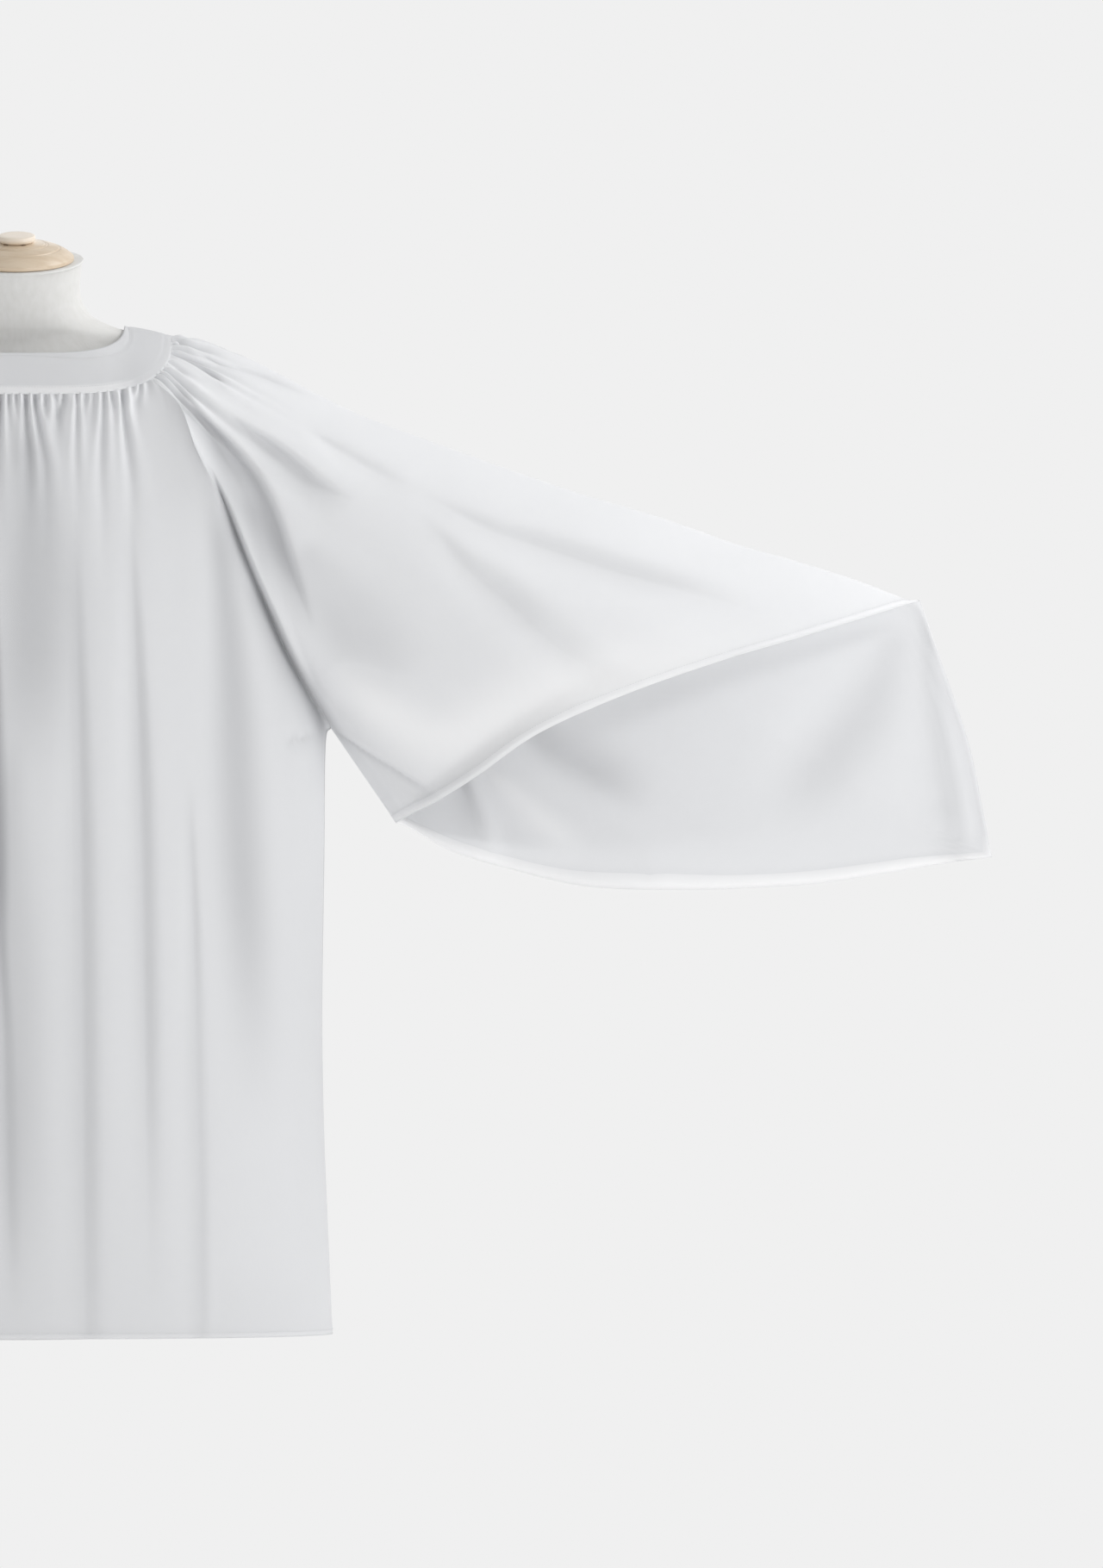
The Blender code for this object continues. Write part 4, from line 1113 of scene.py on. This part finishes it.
def wood_material():
    """Pale turned beech: growth bands across the turning, satin varnish, and a painted highlight that makes
    the knob paler.
    """
    material, tree, shader = new_material("turned beech", WOOD, {"Coat Weight": 0.25, "Coat Roughness": 0.3})
    where = object_place(tree)
    place = add_node(tree, "ShaderNodeMapping", {
        "Vector": where, "Location": -cap_place().translation, "Rotation": (NECK_TILT, 0, 0),
        "Scale": GRAIN_STRETCH}).outputs[0]
    grain = noise(tree, place, GRAIN_SCALE, 6.0, 0.6)
    tone = mixed(tree, WOOD.colour, WOOD_DARK, between(tree, grain, *GRAIN_CONTRAST))
    # painted highlight: the knob paler than the dome
    height = add_node(tree, "ShaderNodeSeparateXYZ", {0: where}).outputs["Z"]
    knob = between(tree, height, HEM_HEIGHT + KNOB_FOOT, HEM_HEIGHT + KNOB_FOOT + KNOB_FADE)
    tone = mixed(tree, tone, KNOB_PAINTED_HIGHLIGHT, math_node(tree, "MULTIPLY", knob, KNOB_LIGHTER))
    tree.links.new(tone, shader.inputs["Base Color"])
    add_roughness(tree, shader, grain, 0.2, 0.35)
    add_relief(tree, shader, grain, 0.3, 0.0002)
    return material


def paint_material():
    """White powder coat with its fine orange peel."""
    material, tree, shader = new_material("white powder coat", PAINT)
    peel = noise(tree, object_place(tree), PEEL_SCALE)
    add_relief(tree, shader, peel, 0.4, 0.0002)
    add_roughness(tree, shader, peel, 0.15, 0.36)
    return material


# Form

def form_section(row):
    """Ring of the torso at one height, as in the solid but finer."""
    half_width, front, back, lean = row[1:]
    angles = np.linspace(0, math.tau, FORM_SIDES, endpoint=False)
    depth = np.where(np.sin(angles) < 0, front, back)
    y = depth * np.sin(angles)
    height = HEM_HEIGHT + row[0] + y * math.tan(lean * NECK_TILT)
    return np.column_stack([half_width * np.cos(angles), y, height])


def closed_loft(name, rings, ends, crease):
    """Closed mesh through rings of points, shut on one point at each end."""
    sides = len(rings[0])
    low = len(rings) * sides
    last = low - sides
    faces = []
    for k in range(sides):
        after = (k + 1) % sides
        faces.append((low, after, k))
        faces.append((low + 1, last + k, last + after))
        for base in range(0, last, sides):
            faces.append((base + k, base + after, base + sides + after, base + sides + k))
    mesh = bpy.data.meshes.new(name)
    mesh.from_pydata(np.vstack([*rings, *ends]).tolist(), [], faces)
    outward_faces(mesh)
    mesh.set_sharp_from_angle(angle=crease)
    return mesh


def torso_mesh():
    """Torso and neck lofted through the sections, with a rolled band at the top of the neck."""
    rings = [form_section(row) for row in smooth_curve(FORM_ROWS, FORM_STEPS)]
    top = FORM_ROWS[-1]
    for turn in np.linspace(-math.pi / 2, math.pi / 2, BAND_STEPS):
        out = 1 + BAND_THICKNESS * math.cos(turn) / top.half_width
        level = top.z - BAND_THICKNESS * (1 - math.sin(turn))
        rings.append(form_section((level, top.half_width * out, top.front * out, top.back * out, 1)))
    return closed_loft("torso", rings, [rings[0].mean(axis=0), rings[-1].mean(axis=0)], TORSO_CREASE)


def turned_mesh(name, profile, place):
    """Turned piece from a profile of (radius, height), its ends on the axis, moved by a matrix."""
    angles = np.linspace(0, math.tau, CAP_SIDES, endpoint=False)
    rings = [[place @ Vector((radius * math.cos(a), radius * math.sin(a), height)) for a in angles]
             for radius, height in profile[1:-1]]
    ends = [place @ Vector((0, 0, profile[i][1])) for i in (0, -1)]
    return closed_loft(name, rings, [ends], CAP_CREASE)


def cap_profile():
    """Profile of the turned cap from its knob to its foot, with the grooves of the lathe."""
    dome = []
    for radius, height in smooth_curve(CAP_DOME, CAP_STEPS):
        cut = sum(GROOVE_DEPTH * math.exp(-((radius - r) / GROOVE_WIDTH) ** 2) for r in GROOVES)
        dome.append((radius, height - cut))
    knob = [(share * KNOB_RADIUS - inset, height) for share, inset, height in CAP_KNOB]
    foot = [(CAP_RADIUS, CAP_EDGE - CAP_FOOT), (CAP_RADIUS - CAP_CHAMFER, -CAP_FOOT), (0.0, -CAP_FOOT)]
    return knob + dome + foot


def cap_place():
    """Matrix that leans the cap forward on the neck."""
    rise = CAP_FOOT + SEAT_GAP
    neck_top = HEM_HEIGHT + FORM_ROWS[-1].z - CAP_FORWARD * math.tan(NECK_TILT)
    where = Vector((0, -CAP_FORWARD - rise * math.sin(NECK_TILT), neck_top + rise * math.cos(NECK_TILT)))
    return Matrix.Translation(where) @ Matrix.Rotation(NECK_TILT, 4, "X")


def notch_mesh():
    """Two small notches under the knob's front, dark with painted shade for the recesses there."""
    work = bmesh.new()
    for turn, half_width in NOTCHES:
        place = cap_place() @ Matrix.Rotation(turn, 4, "Z") @ Matrix.Translation(NOTCH_PLACE)
        shape = Matrix.Diagonal((half_width, NOTCH_DEPTH, NOTCH_HEIGHT, 1))
        bmesh.ops.create_uvsphere(work, u_segments=14, v_segments=9, radius=1.0, matrix=place @ shape)
    mesh = bpy.data.meshes.new("notches")
    work.to_mesh(mesh)
    work.free()
    outward_faces(mesh)
    return mesh


# Stitches

def stitch_group():
    """Geometry nodes: short stitches along the edges of a mesh, as in a lockstitched seam."""
    group, start, end = group_with(
        "GeometryNodeTree", "stitches along a path",
        [("Path", "NodeSocketGeometry", None), ("Pitch", "NodeSocketFloat", STITCH_PITCH),
         ("Length", "NodeSocketFloat", STITCH_LENGTH), ("Width", "NodeSocketFloat", STITCH_WIDTH),
         ("Finish", "NodeSocketMaterial", None)],
        [("Stitches", "NodeSocketGeometry")])
    given = start.outputs
    curve = add_node(group, "GeometryNodeMeshToCurve", {"Mesh": given["Path"]})
    spots = add_node(group, "GeometryNodeCurveToPoints",
                     {"Curve": curve.outputs["Curve"], "Length": given["Pitch"]}, mode="LENGTH")
    along = add_node(group, "FunctionNodeAlignRotationToVector",
                     {"Vector": spots.outputs["Tangent"]}, axis="X")
    bead = add_node(group, "GeometryNodeMeshUVSphere", {"Segments": 6, "Rings": 5, "Radius": 0.5})
    size = add_node(group, "ShaderNodeCombineXYZ",
                    {"X": given["Length"], "Y": given["Width"], "Z": given["Width"]})
    beads = add_node(group, "GeometryNodeInstanceOnPoints", {
        "Points": spots.outputs["Points"], "Instance": bead.outputs["Mesh"],
        "Rotation": along.outputs["Rotation"], "Scale": size.outputs[0]})
    real = add_node(group, "GeometryNodeRealizeInstances", {"Geometry": beads.outputs["Instances"]})
    finish = add_node(group, "GeometryNodeSetMaterial",
                      {"Geometry": real.outputs["Geometry"], "Material": given["Finish"]})
    group.links.new(finish.outputs["Geometry"], end.inputs["Stitches"])
    return group


def stitched_lines(name, lines, closed, group, thread):
    """Piece of real stitches along lines of points, all closed or all open."""
    points, edges = [], []
    for line in lines:
        base = len(points)
        points += [tuple(p) for p in line]
        edges += [(base + i, base + i + 1) for i in range(len(line) - 1)]
        if closed:
            edges.append((base + len(line) - 1, base))
    path = bpy.data.meshes.new(name + " path")
    path.from_pydata(points, edges, [])
    stitches = bpy.data.objects.new(name, path)
    bpy.context.scene.collection.objects.link(stitches)
    modifier = stitches.modifiers.new("stitches", "NODES")
    modifier.node_group = group
    given = {"Finish": thread, "Pitch": STITCH_PITCH}
    for item in group.interface.items_tree:
        if item.name in given:
            modifier[item.identifier] = given[item.name]
    graph = bpy.context.evaluated_depsgraph_get()
    made = bpy.data.meshes.new_from_object(stitches.evaluated_get(graph))
    stitches.modifiers.remove(modifier)
    stitches.data = made
    made.name = name
    made.polygons.foreach_set("use_smooth", [True] * len(made.polygons))
    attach(stitches, "root")
    return stitches


def surface_line(panel, distance, from_hem, rise):
    """Line on the outer surface, some way from the hem or the top edge, the same or for each column."""
    distances = np.broadcast_to(distance, panel["grid"].shape[1])
    surface = panel["grid"] + panel["normal"] * (panel["lift"] + rise)[..., None]
    reach = panel["hem"][::-1] if from_hem else panel["down"]
    ordered = surface[::-1] if from_hem else surface
    line = []
    for column in range(surface.shape[1]):
        line.append([np.interp(distances[column], reach[:, column], ordered[:, column, axis])
                     for axis in range(3)])
    return line[:-1] if panel["closed"] else line


# Garment

def make_garment(cotton, thread, group):
    """Yoke, front, back and sleeves with their stitches."""
    panels = {"front": body_panel(FRONT), "back": body_panel(BACK), "sleeve_left": sleeve_panel(1),
              "sleeve_right": sleeve_panel(-1), "yoke": yoke_panel()}
    for name, panel in panels.items():
        normal = grid_normals(panel["grid"], panel["closed"])
        panel["normal"] = normal * outward_sign(name, panel["grid"], normal)
    sewn_normals(list(panels.values()))
    pieces = {name: add_piece(name + "_cloth", cloth_mesh(name, panel), cotton, name)
              for name, panel in panels.items()}
    for name, panel in panels.items():
        if name == "yoke":
            lines = [surface_line(panel, place, False, YOKE_RISE) for place in (YOKE_STITCH, NECK_STITCH)]
        else:
            lines = [surface_line(panel, panel["hem_depth"] - HEM_MARGIN, True, HEM_RISE)]
        stitches = stitched_lines(name + "_stitches", lines, panel["closed"], group, thread)


def outward_sign(name, grid, normal):
    """1 if the normals lead outward, or -1."""
    if name == "yoke":
        return 1 if normal[..., 2].sum() > 0 else -1
    if name in ("front", "back"):
        wanted = FRONT if name == "front" else BACK
        return 1 if normal[..., 1].sum() * wanted > 0 else -1
    centre = grid.mean(axis=1, keepdims=True)
    return 1 if ((grid - centre) * normal).sum() > 0 else -1


def make_form(jersey, wood, recess, paint):
    """Torso, turned cap, pole and foot of the dress form."""
    add_piece("torso_cover", torso_mesh(), jersey, "form_torso")
    # dark notches: painted shade in the knob's recesses
    add_piece("knob_notches_painted_shade", notch_mesh(), recess)
    add_piece("turned_cap", turned_mesh("cap", cap_profile(), cap_place()), wood, "neck_cap")
    for name in ("pole", "foot"):
        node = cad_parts[name]
        node.data.materials.clear()
        node.data.materials.append(paint)


# Studio

def add_lamp(row):
    """Large soft lamp aimed at a point."""
    data = bpy.data.lights.new(row.name, "AREA")
    data.shape = "RECTANGLE"
    data.size, data.size_y = row.size
    data.energy = row.power
    lamp = bpy.data.objects.new(row.name, data)
    bpy.context.scene.collection.objects.link(lamp)
    lamp.location = row.place
    lamp.rotation_euler = (Vector(row.target) - Vector(row.place)).to_track_quat("-Z", "Y").to_euler()


def make_studio():
    """Even white surround, soft lamps, and the camera of the photograph."""
    scene = bpy.context.scene
    scene.view_settings.view_transform = "Standard"
    scene.view_settings.look = "None"
    world = bpy.data.worlds.new("studio")
    world.use_nodes = True
    sky = world.node_tree.nodes["Background"]
    sky.inputs["Color"].default_value = (1, 1, 1, 1)
    sky.inputs["Strength"].default_value = AMBIENT
    scene.world = world

    white = bpy.data.materials.new("studio white")
    white.use_nodes = True
    tree = white.node_tree
    tree.nodes.remove(tree.nodes["Principled BSDF"])
    seen = add_node(tree, "ShaderNodeLightPath").outputs["Is Camera Ray"]
    shown = math_node(tree, "MULTIPLY", seen, BACKDROP_GLOW - BACKDROP_FILL)
    glow = add_node(tree, "ShaderNodeEmission", {"Strength": math_node(tree, "ADD", shown, BACKDROP_FILL)})
    tree.links.new(glow.outputs[0], tree.nodes["Material Output"].inputs["Surface"])
    wall = bpy.data.meshes.new("studio")
    far, high, deep = STUDIO_SIZE
    corners = [(-far, -deep, 0), (far, -deep, 0), (far, far, 0), (-far, far, 0), (-far, far, high),
               (far, far, high)]
    wall.from_pydata(corners, [], [(0, 1, 2, 3), (3, 2, 5, 4)])
    wall.materials.append(white)
    backdrop = bpy.data.objects.new("studio", wall)
    scene.collection.objects.link(backdrop)

    for lamp in LAMPS:
        add_lamp(lamp)

    data = bpy.data.cameras.new("camera")
    data.sensor_fit = "HORIZONTAL"
    data.sensor_width = SENSOR
    data.lens = SENSOR * CAMERA_DISTANCE / (PHOTO_WIDTH * METRES_PER_PIXEL)
    data.clip_end = CAMERA_REACH
    camera = bpy.data.objects.new("camera", data)
    scene.collection.objects.link(camera)
    camera.location = ((PHOTO_WIDTH / 2 - MIDDLE_PIXEL) * METRES_PER_PIXEL, -CAMERA_DISTANCE,
                       HEM_HEIGHT + (HEM_PIXEL - PHOTO_HEIGHT / 2) * METRES_PER_PIXEL)
    camera.rotation_euler = (math.pi / 2, 0, 0)
    scene.camera = camera


WEAVE = weave_group()
make_garment(cotton_material(WEAVE), speckled_material("white thread", THREAD, THREAD_SHADE, TWIST_SCALE),
             stitch_group())
# the dark recess finish is painted shade
make_form(jersey_material(WEAVE), wood_material(),
          speckled_material("painted recess shade", PAINTED_RECESS_SHADE, RECESS_LIGHT, PORE_SCALE), paint_material())
make_studio()
